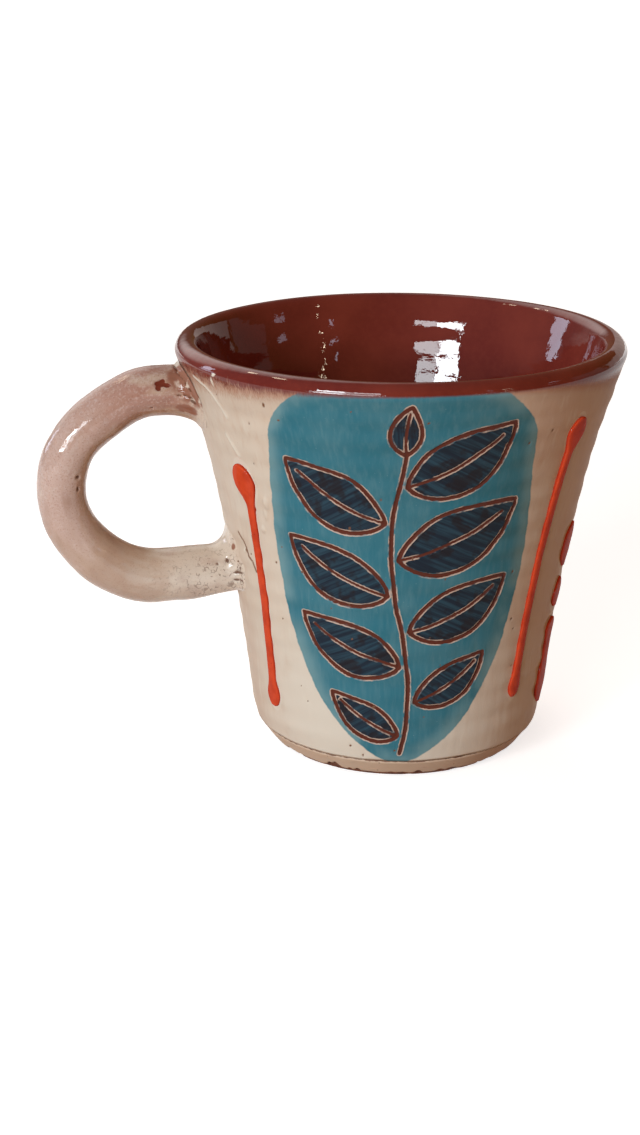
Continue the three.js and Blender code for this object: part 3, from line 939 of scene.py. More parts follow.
def painted_shade_on_slip():
    """Painted shade on the slip, warm and darker: low at the left edge beside the handle, high right of the
    panel under the lip, and on the right side.
    """
    low = 0.67 * beside(186, 9) * (1 - ease(coat_height, 36, 60))
    high = beside(298, 14) * ease(coat_height, 62, 76)
    return np.maximum(np.maximum(low, high), 0.3 * beside(322, 16))


print("slip ends", round(float(slip_edge().min()), 1), "to", round(float(slip_edge().max()), 1), "mm up")

# %% Trail halos, pits and crumbs
FLECKS = (
    (213.3, 61.2, 0.7, 1.6), (212.4, 58.6, 0.6, 1.4), (210.1, 54.9, 0.6, 0.9),
    (204.2, 87.7, 0.9, 0.35), (203.2, 86.1, 0.3, 1.5), (196.8, 47.8, 0.6, 0.45),
)
TOOL_LINE = ((193.0, 85.6), (198.5, 84.3), (200.9, 83.1), (203.4, 80.9), (205.0, 78.7))
LOW_TOOL_LINE = ((201.8, 74.4), (203.6, 72.6), (205.8, 70.3))
WALL_CRACK = ((194.0, 51.4), (196.8, 49.9), (198.5, 46.7), (200.9, 46.0), (201.7, 43.8))
NICK = ((203.2, 52.2), (203.5, 50.4))
LARGE_PITS = ((220.2, 83.6, 0.35, 0.9), (207.6, 58.9, 0.45, 0.6))
PIT_COUNT = 48


def sideways(azimuth):
    """How far each point of the coat lies to the side of an azimuth, in mm round the wall."""
    return np.radians(swing(coat_azimuth, azimuth)) * coat_radius


def halo_distance():
    """Distance from the edge of the nearest trail."""
    best = np.full(across.shape, FAR)
    for course in courses.values():
        for azimuth, height, width in list(zip(*course))[::2]:
            best = np.minimum(best, np.hypot(sideways(azimuth), coat_height - height) - width / 2)
    return best


def dots(centres):
    """The nearest dot's depth at each point, from 1 at its middle to 0 at its edge."""
    best = np.zeros(across.shape)
    for azimuth, height, half_width, half_height in centres:
        reach = np.hypot(sideways(azimuth) / half_width, (coat_height - height) / half_height)
        best = np.maximum(best, 1 - np.minimum(reach, 1))
    return best


def wall_line(places):
    """Distance in mm from a line drawn on the wall through places given by azimuth and height."""
    middle = np.mean(places, axis=0)
    scale = np.array([math.radians(float(clay_radius(middle[1]))), 1])
    turn = swing(coat_azimuth, middle[0])
    points = np.stack(np.broadcast_arrays(turn, coat_height - middle[1]), axis=-1) * scale
    gap = line_distance(points.reshape(-1, 2), (np.array(places) - middle) * scale)
    return np.minimum(gap, FAR).reshape(across.shape)


draw = np.random.default_rng(7)
pit_sizes = draw.uniform(0.22, 0.42, PIT_COUNT)
pit_places = zip(draw.uniform(196, 312, PIT_COUNT), draw.uniform(6, 86, PIT_COUNT), pit_sizes, pit_sizes)
marks = {
    "lip": (slip_edge() - coat_height) / slip_fade(),
    "brushed": np.broadcast_to(brushed(), across.shape),
    "halo": halo_distance(),
    # painted light: whiter slip on the left front, where the window light falls, and low at the foot
    "painted_light": painted_light_on_slip(),
    # painted shade: warm, darker slip beside the handle, under the lip right of the panel and on the right
    # side
    "thin": painted_shade_on_slip(),
    "pit": dots([*pit_places, *LARGE_PITS]),
    "fleck": dots(FLECKS),
    "tool": np.minimum(wall_line(TOOL_LINE), wall_line(LOW_TOOL_LINE)),
    "crack": np.minimum(wall_line(WALL_CRACK), wall_line(NICK)),
}
print("points in pits and flecks:", [int((marks[name] > 0).sum()) for name in ("pit", "fleck")])

# %% Shape of the slip coat
GROOVE_DEPTH = 0.3
BURR_HEIGHT = 0.09
FILM = 0.05  # what is left of the coat where it fades out on the lip
TOP_THINNING = 0.25
RING_RELIEF = 0.09
LUMP_RELIEF = 0.13
BRUSH_RELIEF = 0.035
FINE_RELIEF = 0.03
PIT_DEPTH = 0.3
FLECK_HEIGHT = 0.45
TOOL_RIDGE = 0.28
CRACK_DEPTH = 0.22
EDGE_WOBBLE = 0.22
on_wall = coat_height < LIP_CENTRE[1]
thickness = COAT_THICKNESS - TOP_THINNING * ease(coat_height, CUP_HEIGHT - 45, CUP_HEIGHT - 20)
thickness = FILM + (thickness - FILM) * (1 - ease(coat_height, CUP_HEIGHT - 12, CUP_HEIGHT - 4.5))
thickness = np.where(on_wall, thickness, FILM - 3 * FILM * ease(facing, 0.1, LIP_OVERLAP))
plain = ease(CUP_HEIGHT - coat_height, 3, 9)
line = painted["line"]
relief = RING_RELIEF * throwing_rings(coat_points, coat_azimuth, 0) + LUMP_RELIEF * lumps(coat_points, 16, 1)
relief += BRUSH_RELIEF * lumps(coat_points, (1.5, 1.5, 18), 2) + FINE_RELIEF * lumps(coat_points, 3, 4)
relief *= plain
relief -= GROOVE_DEPTH * np.clip(-line / LINE_HALF_WIDTH, 0, 1) ** 0.7
relief += BURR_HEIGHT * bell(line - 0.14, 0.16)
relief -= PIT_DEPTH * marks["pit"]
relief += FLECK_HEIGHT * np.sqrt(marks["fleck"])
relief += TOOL_RIDGE * bell(marks["tool"], 0.4) - CRACK_DEPTH * bell(marks["crack"], 0.3)
depth = np.where(on_wall, np.maximum(thickness + relief, FILM), thickness)
outer = turned(coat_radius + depth * np.cos(facing), coat_height + depth * np.sin(facing), coat_azimuth)
edge_wobble = EDGE_WOBBLE * lumps(outer, (6, 6, 40), 6) * (1 - ease(coat_height, COAT_LOW, COAT_LOW + 1.2))
outer[..., 2] += edge_wobble + rim_dip(outer, coat_azimuth)
inner_heights = np.linspace(WALL_TOP[1] - 1, COAT_LOW + 0.2, 14)[:, None]
inner = turned(clay_radius(inner_heights) + COAT_BOND, inner_heights, coat_azimuth)
wall_coat = skin("wall_slip_coat", np.concatenate([outer, inner]), closed=True)
for name, values in (painted | marks).items():
    keep(wall_coat, name, values)
print("coat radius up to", round(float(np.hypot(outer[..., 0], outer[..., 1]).max()), 2), "mm")

# %% [markdown]
# The finish of the coat reads those numbers. Cream slip comes first, with vertical brush streaks, warm
# clouds and small brown specks. Then come the haze of brown glaze under the lip, the wash with its paler
# rim, the navy strokes that follow each leaf, the scratched lines with pale burrs and, over them all, the
# brown glaze of the lip. The pits, crumbs, tool lines and cracks of the wall are coloured last.

# %% Cream slip
CREAM = (0.64, 0.52, 0.41)
CREAM_PALE = (0.68, 0.595, 0.495)
CREAM_THIN_AND_SHADE = (0.55, 0.37, 0.26)
CREAM_WHITE = (0.72, 0.66, 0.565)
SPECK = (0.19, 0.09, 0.05)
VEIL = (0.47, 0.36, 0.28)
HAZE = (0.40, 0.18, 0.11)


def cream_slip(finish):
    """Colour of the plain slip, as a socket of a finish."""
    colour = finish.mix(finish.rise(finish.grain(26), 0.35, 0.65), CREAM, CREAM_PALE)
    streak = finish.rise(finish.grain(1.1, (1, 1, 16), 4), 0.5, 0.8)
    colour = finish.tint(colour, CREAM_THIN_AND_SHADE, streak, 0.3)
    blush = finish.rise(finish.grain(6, detail=4), 0.55, 0.8)
    colour = finish.tint(colour, CREAM_THIN_AND_SHADE, blush, 0.22)
    colour = finish.tint(colour, SPECK, finish.spots(4.5, 0.3, 0.17), 0.6)
    return finish.tint(colour, SPECK, finish.spots(0.9, 0.12, 0.09), 0.4)


def lip_edge(finish):
    """Distance below the edge of the slip, broken into fine streaks where the brush shows."""
    hair = finish.centred(finish.grain(0.3, (1, 1, 9), 4), 1.7)
    lick = finish.centred(finish.grain(2.2, (1, 1, 3), 3), 0.9)
    streaks = finish.times(finish.plus(hair, lick), finish.kept("brushed"))
    return finish.plus(finish.kept("lip"), streaks)


def hazy(finish, colour, below):
    """Brown glaze that ran thin over the slip under the lip."""
    colour = finish.tint(colour, VEIL, finish.rise(below, 4, 0.5), 0.4)
    return finish.tint(colour, HAZE, finish.rise(below, 1.6, 0.1), 0.75)


print("cream slip", CREAM)

# %% Painted panel
TURQUOISE = (0.031, 0.172, 0.236)
TURQUOISE_PALE = (0.175, 0.325, 0.36)
NAVY = (0.012, 0.021, 0.037)
NAVY_WASH = (0.024, 0.062, 0.094)
INK = (0.017, 0.010, 0.011)
LINE_BROWN = (0.115, 0.027, 0.015)
BURR = (0.62, 0.47, 0.38)


def wash_and_leaves(finish, colour):
    """The turquoise wash of the panel, thin at its rim, and the navy strokes that fill each leaf."""
    wobble = finish.centred(finish.grain(1.3, detail=3), 0.5)
    depth = finish.plus(finish.kept("panel"), wobble)
    cloud = finish.rise(finish.grain(9, detail=4), 0.3, 0.72)
    thin = finish.times(finish.rise(depth, 4.2, 0.4), finish.rise(finish.grain(9, detail=2), 0.2, 0.55))
    brush = finish.rise(finish.grain(0.9, (1, 1, 11), 4), 0.4, 0.75)
    wash = finish.tint(TURQUOISE, TURQUOISE_PALE, finish.plus(cloud, brush), 0.16)
    wash = finish.tint(wash, TURQUOISE_PALE, thin, 0.8)
    wash = finish.tint(wash, TURQUOISE_PALE, finish.spots(1.2, 0.3, 0.15), 0.35)
    colour = finish.mix(finish.rise(depth, -0.1, 0.25), colour, wash)
    stroke = finish.grain(0.85, detail=4, vector=finish.strokes("leaf_along", "leaf_across", 0.09))
    navy = finish.mix(finish.rise(stroke, 0.38, 0.68), NAVY, NAVY_WASH)
    navy = finish.tint(navy, INK, finish.rise(finish.grain(4, detail=3), 0.5, 0.62), 0.7)
    filled = finish.rise(finish.plus(finish.kept("leaf"), wobble), 0.35, 0.6)
    return finish.mix(filled, colour, navy)


def scratched_lines(finish, colour):
    """Brown clay at the bottom of the lines, with a pale burr here and there beside them."""
    gap = finish.plus(finish.kept("line"), finish.centred(finish.grain(0.9, detail=3), 0.3))
    patchy = finish.rise(finish.grain(3.5), 0.38, 0.55)
    burr = finish.times(finish.rise(gap, 0.27, 0.17), patchy)
    colour = finish.tint(colour, BURR, burr, 0.9)
    return finish.mix(finish.rise(gap, 0.06, -0.06), colour, LINE_BROWN)


print("panel wash", TURQUOISE)

# %% Finish of the coat


def coat_finish():
    """All layers of the coat, from the plain slip to its cracks."""
    finish = Finish("cream_slip_with_panel")
    # Painted light: whiter slip on the left front, where the window light falls, and low at the foot.
    painted_light = finish.times(finish.kept("painted_light"), finish.rise(finish.grain(8, detail=4), 0.15, 0.5))
    colour = finish.tint(cream_slip(finish), CREAM_WHITE, painted_light, 0.9)
    # Painted shade: warm, darker slip beside the handle, under the lip right of the panel and on the right
    # side.
    colour = finish.tint(colour, CREAM_THIN_AND_SHADE, finish.kept("thin"), 0.6)
    milk = finish.rise(finish.grain(1.6, (1, 1, 7), 4), 0.55, 0.75)
    colour = finish.tint(colour, CREAM_WHITE, milk, 0.4)
    colour = finish.tint(colour, CREAM_WHITE, finish.rise(finish.kept("halo"), 0.55, 0.2), 0.8)
    below = lip_edge(finish)
    colour = hazy(finish, colour, below)
    colour = scratched_lines(finish, wash_and_leaves(finish, colour))
    brown = finish.rise(below, 0.55, -0.45)
    colour = finish.mix(brown, colour, brown_glaze(finish))
    colour = finish.mix(finish.rise(finish.kept("pit"), 0.1, 0.5), colour, SPECK)
    colour = finish.mix(finish.rise(finish.kept("fleck"), 0.05, 0.4), colour, CREAM_PALE)
    # Painted highlight: the tool ridges are real relief, and their white colour stands in for the highlight
    # along them.
    colour = finish.tint(colour, CREAM_WHITE, finish.rise(finish.kept("tool"), 0.5, 0.2), 0.9)
    broken = finish.rise(finish.grain(1.2, detail=3), 0.3, 0.5)
    crack = finish.times(finish.rise(finish.kept("crack"), 0.42, 0.2), broken)
    colour = finish.tint(colour, SPECK, crack, 0.9)
    fine = finish.bump(finish.grain(0.5, (1, 1, 4), 4), 0.025)
    gloss = finish.plus(0.18, finish.times(brown, 0.55))
    return finish.fired(colour, 0.4, 0.0, fine, gloss, 0.06)


wall_coat.data.materials.append(coat_finish())
dress(wall_coat, "cream_slip", "wall_slip")

# %% [markdown]
# Below the scored line a narrow band of slip runs round the foot. Its lower edge was never trimmed: it is
# ragged, and chips show the clay. The band is another closed shell, with a different height at each
# azimuth.

# %% Foot band
FOOT_CREAM = (0.65, 0.47, 0.335)
FOOT_BAND_ROWS = 16
FOOT_BAND_COLUMNS = 400
FOOT_BAND_THICKNESS = 0.55
FOOT_BAND_EDGE = 0.05
FOOT_BAND_LOW = 0.85  # height of the ragged edge
FOOT_BAND_LEAST = 0.3
FOOT_BAND_BOND = 0.03
FOOT_BAND_LUMPS = 0.06
ROUNDED_SHARE = 0.12  # share of the band's height over which each edge is rounded
RAGGED_WAVE = 0.4
RAGGED_CHIPS = 1.3
TOP_WAVE = 0.15
WORN_AZIMUTH = 230
WORN_SPAN = 18
WORN_GAIN = 1.5
foot_azimuth = np.arange(FOOT_BAND_COLUMNS) * 360 / FOOT_BAND_COLUMNS
foot_circle = turned(FOOT_RADIUS, 0.0, foot_azimuth)
worn_side = 1 + WORN_GAIN * bell(foot_azimuth - WORN_AZIMUTH, WORN_SPAN)
ragged = RAGGED_WAVE * lumps(foot_circle, 5, 14)
ragged += RAGGED_CHIPS * np.clip(lumps(foot_circle, 1.6, 15) - 0.1, 0, 1)
band_low = np.maximum(FOOT_BAND_LOW + worn_side * ragged, FOOT_BAND_LEAST)
band_high = SCORE_HEIGHT - SCORE_WIDTH / 2 + TOP_WAVE * lumps(foot_circle, 4, 16)
band_share = np.linspace(0, 1, FOOT_BAND_ROWS)[:, None]
band_height = band_low + (band_high - band_low) * band_share
band_swell = np.minimum(1, np.sqrt(np.minimum(band_share, 1 - band_share) / ROUNDED_SHARE))
band_round = (FOOT_BAND_THICKNESS - FOOT_BAND_EDGE) * band_swell + FOOT_BAND_EDGE
band_points = turned(clay_radius(band_height), band_height, foot_azimuth)
band_radius = clay_radius(band_height) + band_round + FOOT_BAND_LUMPS * lumps(band_points, 2.5, 17)
foot_outer = turned(band_radius, band_height, foot_azimuth)
foot_inner = turned(clay_radius(band_height) + FOOT_BAND_BOND, band_height, foot_azimuth)[::-3]
foot_band = skin("foot_slip_band", np.concatenate([foot_outer, foot_inner]), closed=True)
keep(foot_band, "edge", np.minimum(band_height - band_low, band_high - band_height))


def foot_finish():
    """The same slip, warmer and worn through at its edges."""
    finish = Finish("worn_foot_slip")
    colour = finish.mix(0.55, cream_slip(finish), FOOT_CREAM)
    wear = finish.plus(finish.kept("edge"), finish.centred(finish.grain(0.9, detail=4), 0.7))
    colour = finish.tint(colour, LINE_BROWN, finish.rise(wear, 0.34, 0.06), 0.85)
    colour = finish.tint(colour, SPECK, finish.spots(1.6, 0.35, 0.24), 0.7)
    fine = finish.bump(finish.grain(0.5, detail=4), 0.04)
    return finish.fired(colour, 0.6, 0.0, fine, 0.12, 0.15)


foot_band.data.materials.append(foot_finish())
dress(foot_band, "cream_slip", "foot_slip")

# %% [markdown]
# The handle is a coil rolled by hand, bent to a loop and luted to the wall. The soft clay at each root was
# smoothed into the wall with a finger, more inside the loop than outside it. So the handle is a loft: a
# ring of points at each place along the coil, and near a root the rings spread out and follow the wall.
# A curve with a bevel could make the loop, but not the roots.

# %% Course of the coil
UPPER_LEG_DROP = 9.75  # from the rim down to the middle of the upper leg
UPPER_LEG = CUP_HEIGHT - UPPER_LEG_DROP
LEG_SPACING = 40.3
LOWER_LEG = UPPER_LEG - LEG_SPACING
BEND_RADIUS = LEG_SPACING / 2
BEND_HEIGHT = UPPER_LEG - BEND_RADIUS
UPPER_LEG_LENGTH = 7.4
BEND_REACH = float(clay_radius(UPPER_LEG)) + UPPER_LEG_LENGTH
BEND_THICKNESS = 10.4
UPPER_THICKNESS = 10.6
LOWER_THICKNESS = 11.9
UPPER_SLACK = 1.8  # how much the bend is flatter than a half circle above and below its middle
LOWER_SLACK = 0.5
SIDES = 144
COIL_STEP = 0.33
ROOT_LENGTH = 6.0
ROOT_SINK = 0.3  # how deep the first ring lies in the wall
root_lift = ROOT_LENGTH * np.linspace(0, 1, 26) ** 2  # how far each ring of a root stands off the wall
ring_turn = 2 * np.pi * np.arange(SIDES) / SIDES  # 0 is outside the loop, a quarter turn is +Y


def root_spread(outside, side, inside):
    """How far a root spreads over the wall at each turn of the ring: out of, beside and in the loop."""
    middle = (outside + inside) / 2
    even = (middle + side) / 2
    return even + (outside - inside) / 2 * np.cos(ring_turn) + (middle - even) * np.cos(2 * ring_turn)


def root_rings(leg_height, thickness, upwards, spread):
    """Rings from the wall to the free leg: a hollow curve between the two, and flat rings after it."""
    lift = root_lift[:, None]
    reach = np.clip(1 - lift / (1.15 * spread), 0, 1)
    radius = thickness / 2 + spread * (1 - np.sqrt(1 - reach * reach))
    side = radius * np.sin(ring_turn)
    height = leg_height + upwards * radius * np.cos(ring_turn)
    wall = np.sqrt((clay_radius(height) + COAT_THICKNESS) ** 2 - side**2)
    straight = ease(lift, 0, ROOT_LENGTH)
    out = wall + (clay_radius(leg_height) + COAT_THICKNESS - wall) * straight + lift
    sunk = ROOT_SINK * (1 - ease(lift, 0, 0.25))
    return np.stack([-(out - sunk), side, height], axis=-1)


def bend_rings(turn, thickness):
    """Rings round the bend, from the upper leg over the outside to the lower leg."""
    slack = np.where(turn < np.pi / 2, UPPER_SLACK * np.cos(turn) ** 2, LOWER_SLACK) * np.sin(2 * turn) ** 2
    radius = BEND_RADIUS - slack + thickness / 2 * np.cos(ring_turn)
    x = -BEND_REACH - radius * np.sin(turn)
    z = BEND_HEIGHT + radius * np.cos(turn)
    return np.stack([x, np.broadcast_to(thickness / 2 * np.sin(ring_turn), x.shape), z], axis=-1)


bend_turn = np.linspace(0, np.pi, round(np.pi * BEND_RADIUS / COIL_STEP))[:, None]
thinning = ease(abs(bend_turn - np.pi / 2), 0, 1.2)
end_thickness = np.where(bend_turn < np.pi / 2, UPPER_THICKNESS, LOWER_THICKNESS)
bend = bend_rings(bend_turn, BEND_THICKNESS + (end_thickness - BEND_THICKNESS) * thinning)
upper_root = root_rings(UPPER_LEG, UPPER_THICKNESS, 1, root_spread(0.6, 3.4, 4.0))
lower_root = root_rings(LOWER_LEG, LOWER_THICKNESS, -1, root_spread(0.5, 2.4, 5.4))
leg_length = BEND_REACH + float(lower_root[-1, 0, 0])
leg_share = np.linspace(0, 1, round(leg_length / COIL_STEP))[1:-1, None, None]
lower_leg = bend[-1] + (lower_root[-1] - bend[-1]) * leg_share
handle_grid = np.concatenate([upper_root, bend, lower_leg, lower_root[::-1]])
print("handle rings:", len(handle_grid), "of", SIDES, "points")

# %% Hand work on the coil
LOWER_TUCK = 1.9  # how far the underside of the lower leg rises towards the wall
TUCK_LENGTH = 11
COIL_WAVER = 0.2
bend_start = BEND_REACH - float(clay_radius(UPPER_LEG)) - COAT_THICKNESS
coil_length = bend_start + np.pi * BEND_RADIUS + leg_length + ROOT_LENGTH
along = np.concatenate([
    root_lift,
    bend_start + BEND_RADIUS * bend_turn[:, 0],
    bend_start + np.pi * BEND_RADIUS + leg_length * leg_share[:, 0, 0],
    coil_length - root_lift[::-1],
])
from_root = np.minimum(along, coil_length - along)[:, None]
signed_turn = np.where(ring_turn > np.pi, ring_turn - 2 * np.pi, ring_turn)
unrolled = np.stack(np.broadcast_arrays(along[:, None], signed_turn * BEND_THICKNESS / 2), axis=-1)
tucked = ease(along, coil_length - TUCK_LENGTH, coil_length)[:, None] * np.maximum(np.cos(ring_turn), 0) ** 2
handle_grid[..., 2] += LOWER_TUCK * tucked
ring_centre = handle_grid.mean(axis=1, keepdims=True)
swell_way = handle_grid - ring_centre
swell_way /= np.linalg.norm(swell_way, axis=-1, keepdims=True)


def coil_place(distance, degrees):
    """A place on the unrolled coil: mm from the upper root and mm round from the outside of the loop."""
    return np.array([distance, math.radians(degrees) * BEND_THICKNESS / 2])


def coil_dots(centres):
    """Depth of small round marks on the coil, from 1 at the middle to 0 at the edge."""
    best = np.zeros(unrolled.shape[:2])
    for distance, degrees, length, width in centres:
        gap = (unrolled - coil_place(distance, degrees)) / (length, width)
        best = np.maximum(best, 1 - np.minimum(np.linalg.norm(gap, axis=-1), 1))
    return best


def coil_line(*places):
    """Distance in mm from a wavering line through places on the coil."""
    waver = COIL_WAVER * np.stack([lumps(handle_grid, 1.8, seed) for seed in (41, 42)], axis=-1)
    line = np.array([coil_place(*place) for place in places])
    return line_distance((unrolled + waver).reshape(-1, 2), line).reshape(unrolled.shape[:2])


print("coil", round(coil_length), "mm long")

# %% Pits, chips, cracks and stains of the handle
LOWER_SEAT = coil_length  # where the coil meets the wall again
CHIPS = ((6.3, -62, 1.2, 0.8), (4.9, -66, 0.9, 0.5), (6.8, -70, 0.5, 0.8), (5.7, -55, 0.4, 0.6))
INNER_PITS = (
    (34.1, -122, 0.6, 0.7), (37.1, -127, 0.8, 0.4), (8.2, -120, 0.3, 0.3), (0.7, -100, 0.5, 0.5),
)
SLOTS = (
    (LOWER_SEAT - 0.9, -102, 1.0, 0.35), (LOWER_SEAT - 1.3, -86, 0.8, 0.4),
    (LOWER_SEAT - 2.4, -127, 0.5, 0.6), (LOWER_SEAT - 4.8, -123, 0.4, 0.5),
)
torn = 1 + 0.9 * lumps(handle_grid, 0.9, 43)
chips = np.clip(1.6 * coil_dots(CHIPS) * torn, 0, 1)
pits = coil_dots([*INNER_PITS, *SLOTS])
seam = coil_line((0.9, 8), (1.0, -30), (0.7, -60), (0.5, -80))
ridge_crack = coil_line((0.5, -92), (1.8, -90), (3.2, -91))
low_seam = coil_line((LOWER_SEAT - 0.5, -122), (LOWER_SEAT - 0.7, -100), (LOWER_SEAT - 0.5, -76))
crack_gap = np.minimum(np.minimum(seam, ridge_crack), low_seam)
STAINS = (
    (0.6, -50, 5.5, 5.0), (0.6, -80, 3.5, 3.5), (2.0, -121, 2.2, 1.6),
    (LOWER_SEAT - 0.5, -143, 0.5, 0.5),
)
stains = coil_dots(STAINS)
grit = ease(along, LOWER_SEAT - 26, LOWER_SEAT - 3)[:, None] * np.clip(-np.sin(signed_turn), 0, 1)
print("chips and pits on", int((chips + pits > 0).sum()), "points of the coil")

# %% Shape of the coil
SQUEEZE_RELIEF = 0.26
PRINT_RELIEF = 0.10
SKIN_RELIEF = 0.035
DRAG_RELIEF = 0.22
SMALL_RIDGE = 0.2
COIL_SHRINK = 0.14  # makes up for what the lumps add
COIL_CRACK = 0.35
COIL_PIT = 0.38
COIL_CHIP = 0.3
loose = ease(from_root, 0.0, 1.2)
hand_work = SQUEEZE_RELIEF * lumps(handle_grid, 11, 51) + PRINT_RELIEF * lumps(handle_grid, 4, 52)
hand_work += SKIN_RELIEF * lumps(handle_grid, 1.4, 53)
dragged = np.stack(np.broadcast_arrays(0 * from_root, *np.moveaxis(unrolled, -1, 0)), axis=-1)
hand_work += DRAG_RELIEF * lumps(dragged, (1, 9, 1.1), 54) * (1 - ease(from_root, 1.0, 7.0))
hand_work += SMALL_RIDGE * bell(coil_line((0.4, -84), (3.2, -83)), 0.3)
hand_work -= COIL_SHRINK
hand_work -= COIL_CRACK * bell(crack_gap, 0.3) + COIL_PIT * np.sqrt(pits) + COIL_CHIP * np.sqrt(chips)
handle_grid += (loose * hand_work)[..., None] * swell_way
coil = skin("handle_coil", handle_grid)
print("hand work from", round(float(hand_work.min()), 2), "to", round(float(hand_work.max()), 2), "mm")
coil_marks = {
    "root": 1 - ease(from_root, 0.2, 1.6),
    "along": along[:, None] / coil_length,
    "run": along[:, None],
    "around": signed_turn * BEND_THICKNESS / 2,
    "pit": pits,
    "chip": chips,
    "crack": np.minimum(crack_gap, FAR),
    "stain": stains,
    "grit": grit,
}
for name, values in coil_marks.items():
    keep(coil, name, np.broadcast_to(values, unrolled.shape[:2]))

# %% Thin wash over the handle
WASH_TOP = (0.42, 0.235, 0.183)
WASH_MAUVE = (0.545, 0.385, 0.325)
WASH_TAN = (0.505, 0.362, 0.275)
WASH_CREAM = (0.70, 0.63, 0.54)
WASH_LOOP_SHADE = (0.42, 0.25, 0.14)
WASH_BARE = (0.28, 0.115, 0.072)
WASH_FROST = (0.64, 0.53, 0.49)
PIT_BROWN = (0.12, 0.05, 0.028)
CHIP_RED = (0.17, 0.035, 0.02)
CRAZE_SPAN = 0.95


def sand_and_crazing(finish, colour):
    """Brown sand and fine crazing of the glaze on the lower leg."""
    grit = finish.kept("grit")
    sand = finish.times(finish.spots(0.9, 0.6, 0.2), finish.rise(finish.grain(2.5, detail=3), 0.42, 0.6))
    colour = finish.tint(colour, PIT_BROWN, sand, finish.times(grit, 0.9))
    sockets = {"Vector": finish.place(), "Scale": 1 / (CRAZE_SPAN * MM)}
    cells = finish.node("ShaderNodeTexVoronoi", sockets, feature="DISTANCE_TO_EDGE").outputs["Distance"]
    craze = finish.times(finish.rise(cells, 0.13, 0.04), finish.rise(finish.grain(1.2, detail=4), 0.5, 0.62))
    return finish.tint(colour, PIT_BROWN, craze, finish.times(grit, 0.6))


def handle_finish():
    """A thin wash from mauve above to cream below, worn, stained and chipped."""
    finish = Finish("washed_handle_clay")
    coil_way = finish.strokes("run", "around", 0.22)
    smear = finish.grain(2.4, detail=5, vector=coil_way)
    cloud = finish.plus(finish.grain(7, detail=4), finish.centred(smear, 0.7))
    along_coil = finish.plus(finish.kept("along"), finish.centred(cloud, 0.35))
    colour = finish.mix(finish.rise(along_coil, 0.12, 0.34), WASH_TOP, WASH_MAUVE)
    colour = finish.mix(finish.rise(along_coil, 0.48, 0.66), colour, WASH_TAN)
    colour = finish.mix(finish.rise(along_coil, 0.68, 0.86), colour, WASH_CREAM)
    colour = finish.tint(colour, WASH_TAN, finish.rise(along_coil, 0.1, 0.02), 0.7)
    # Painted shade: the inside of the loop, which faces the wall, is painted warmer and darker.
    inner = finish.rise(finish.calc("ABSOLUTE", finish.kept("around")), 8.5, 13)
    colour = finish.tint(colour, WASH_LOOP_SHADE, inner, 0.35)
    colour = finish.mix(finish.kept("root"), colour, cream_slip(finish))
    colour = finish.tint(colour, WASH_BARE, finish.rise(cloud, 0.5, 0.8), 0.3)
    colour = finish.tint(colour, CREAM_PALE, finish.rise(cloud, 0.46, 0.2), 0.35)
    upper = finish.rise(along_coil, 0.62, 0.4)
    dust = finish.rise(finish.grain(0.3, detail=4), 0.52, 0.72)
    colour = finish.tint(colour, WASH_BARE, dust, finish.plus(0.22, finish.times(upper, 0.25)))
    frost = finish.times(finish.rise(finish.grain(0.55, detail=5), 0.5, 0.66), upper)
    colour = finish.tint(colour, WASH_FROST, frost, 0.32)
    colour = finish.tint(colour, PIT_BROWN, finish.spots(1.5, 0.4, 0.1), 0.5)
    colour = sand_and_crazing(finish, colour)
    stain = finish.times(finish.kept("stain"), finish.rise(finish.grain(1.6, detail=4), 0.25, 0.58))
    colour = finish.tint(colour, WASH_BARE, finish.rise(stain, 0.03, 0.45), 0.95)
    broken = finish.rise(finish.grain(0.8), 0.42, 0.56)
    crack = finish.times(finish.rise(finish.kept("crack"), 0.24, 0.1), broken)
    dark = finish.calc("MAXIMUM", finish.rise(finish.kept("pit"), 0.1, 0.5), crack)
    colour = finish.tint(colour, PIT_BROWN, dark, 0.85)
    chip = finish.rise(finish.kept("chip"), 0.05, 0.3)
    colour = finish.mix(chip, colour, CHIP_RED)
    streaks = finish.bump(finish.grain(0.9, detail=4, vector=coil_way), 0.05)
    fine = finish.bump(finish.grain(0.5, detail=4), 0.01, streaks)
    gloss = finish.plus(0.9, finish.times(finish.calc("MAXIMUM", dark, chip), -0.7))
    dull = finish.times(finish.rise(finish.kept("along"), 0.09, 0.02), -0.5)
    return finish.fired(colour, 0.45, 0.0, fine, finish.times(gloss, finish.plus(1, dull)), 0.025)


coil.data.materials.append(handle_finish())
dress(coil, "washed_clay", "handle", "upper_luting_collar", "lower_luting_collar")

# %% [markdown]
# The stage is a plain pale floor under soft light. A window of four panes on the left gives most of the
# light and shows up in the gloss of the lip, the handle and the inside. A dimmer, cooler window stands
# behind, under two ceiling lamps. On the right stand a lit wall, a doorway, three small windows and a few
# warm lamps, which show in the gloss more than they light. The world is a dim room, warmer on the right and
# below, with a pale wall high at the back. To the camera and in reflections the floor is white, but it
# keeps the soft shadow.

# %% Floor
FLOOR_HALF = 4000
FLOOR_GLOW = 0.74
FLOOR_TONE = (0.72, 0.70, 0.68)
TABLE_TONE = (0.47, 0.235, 0.085)


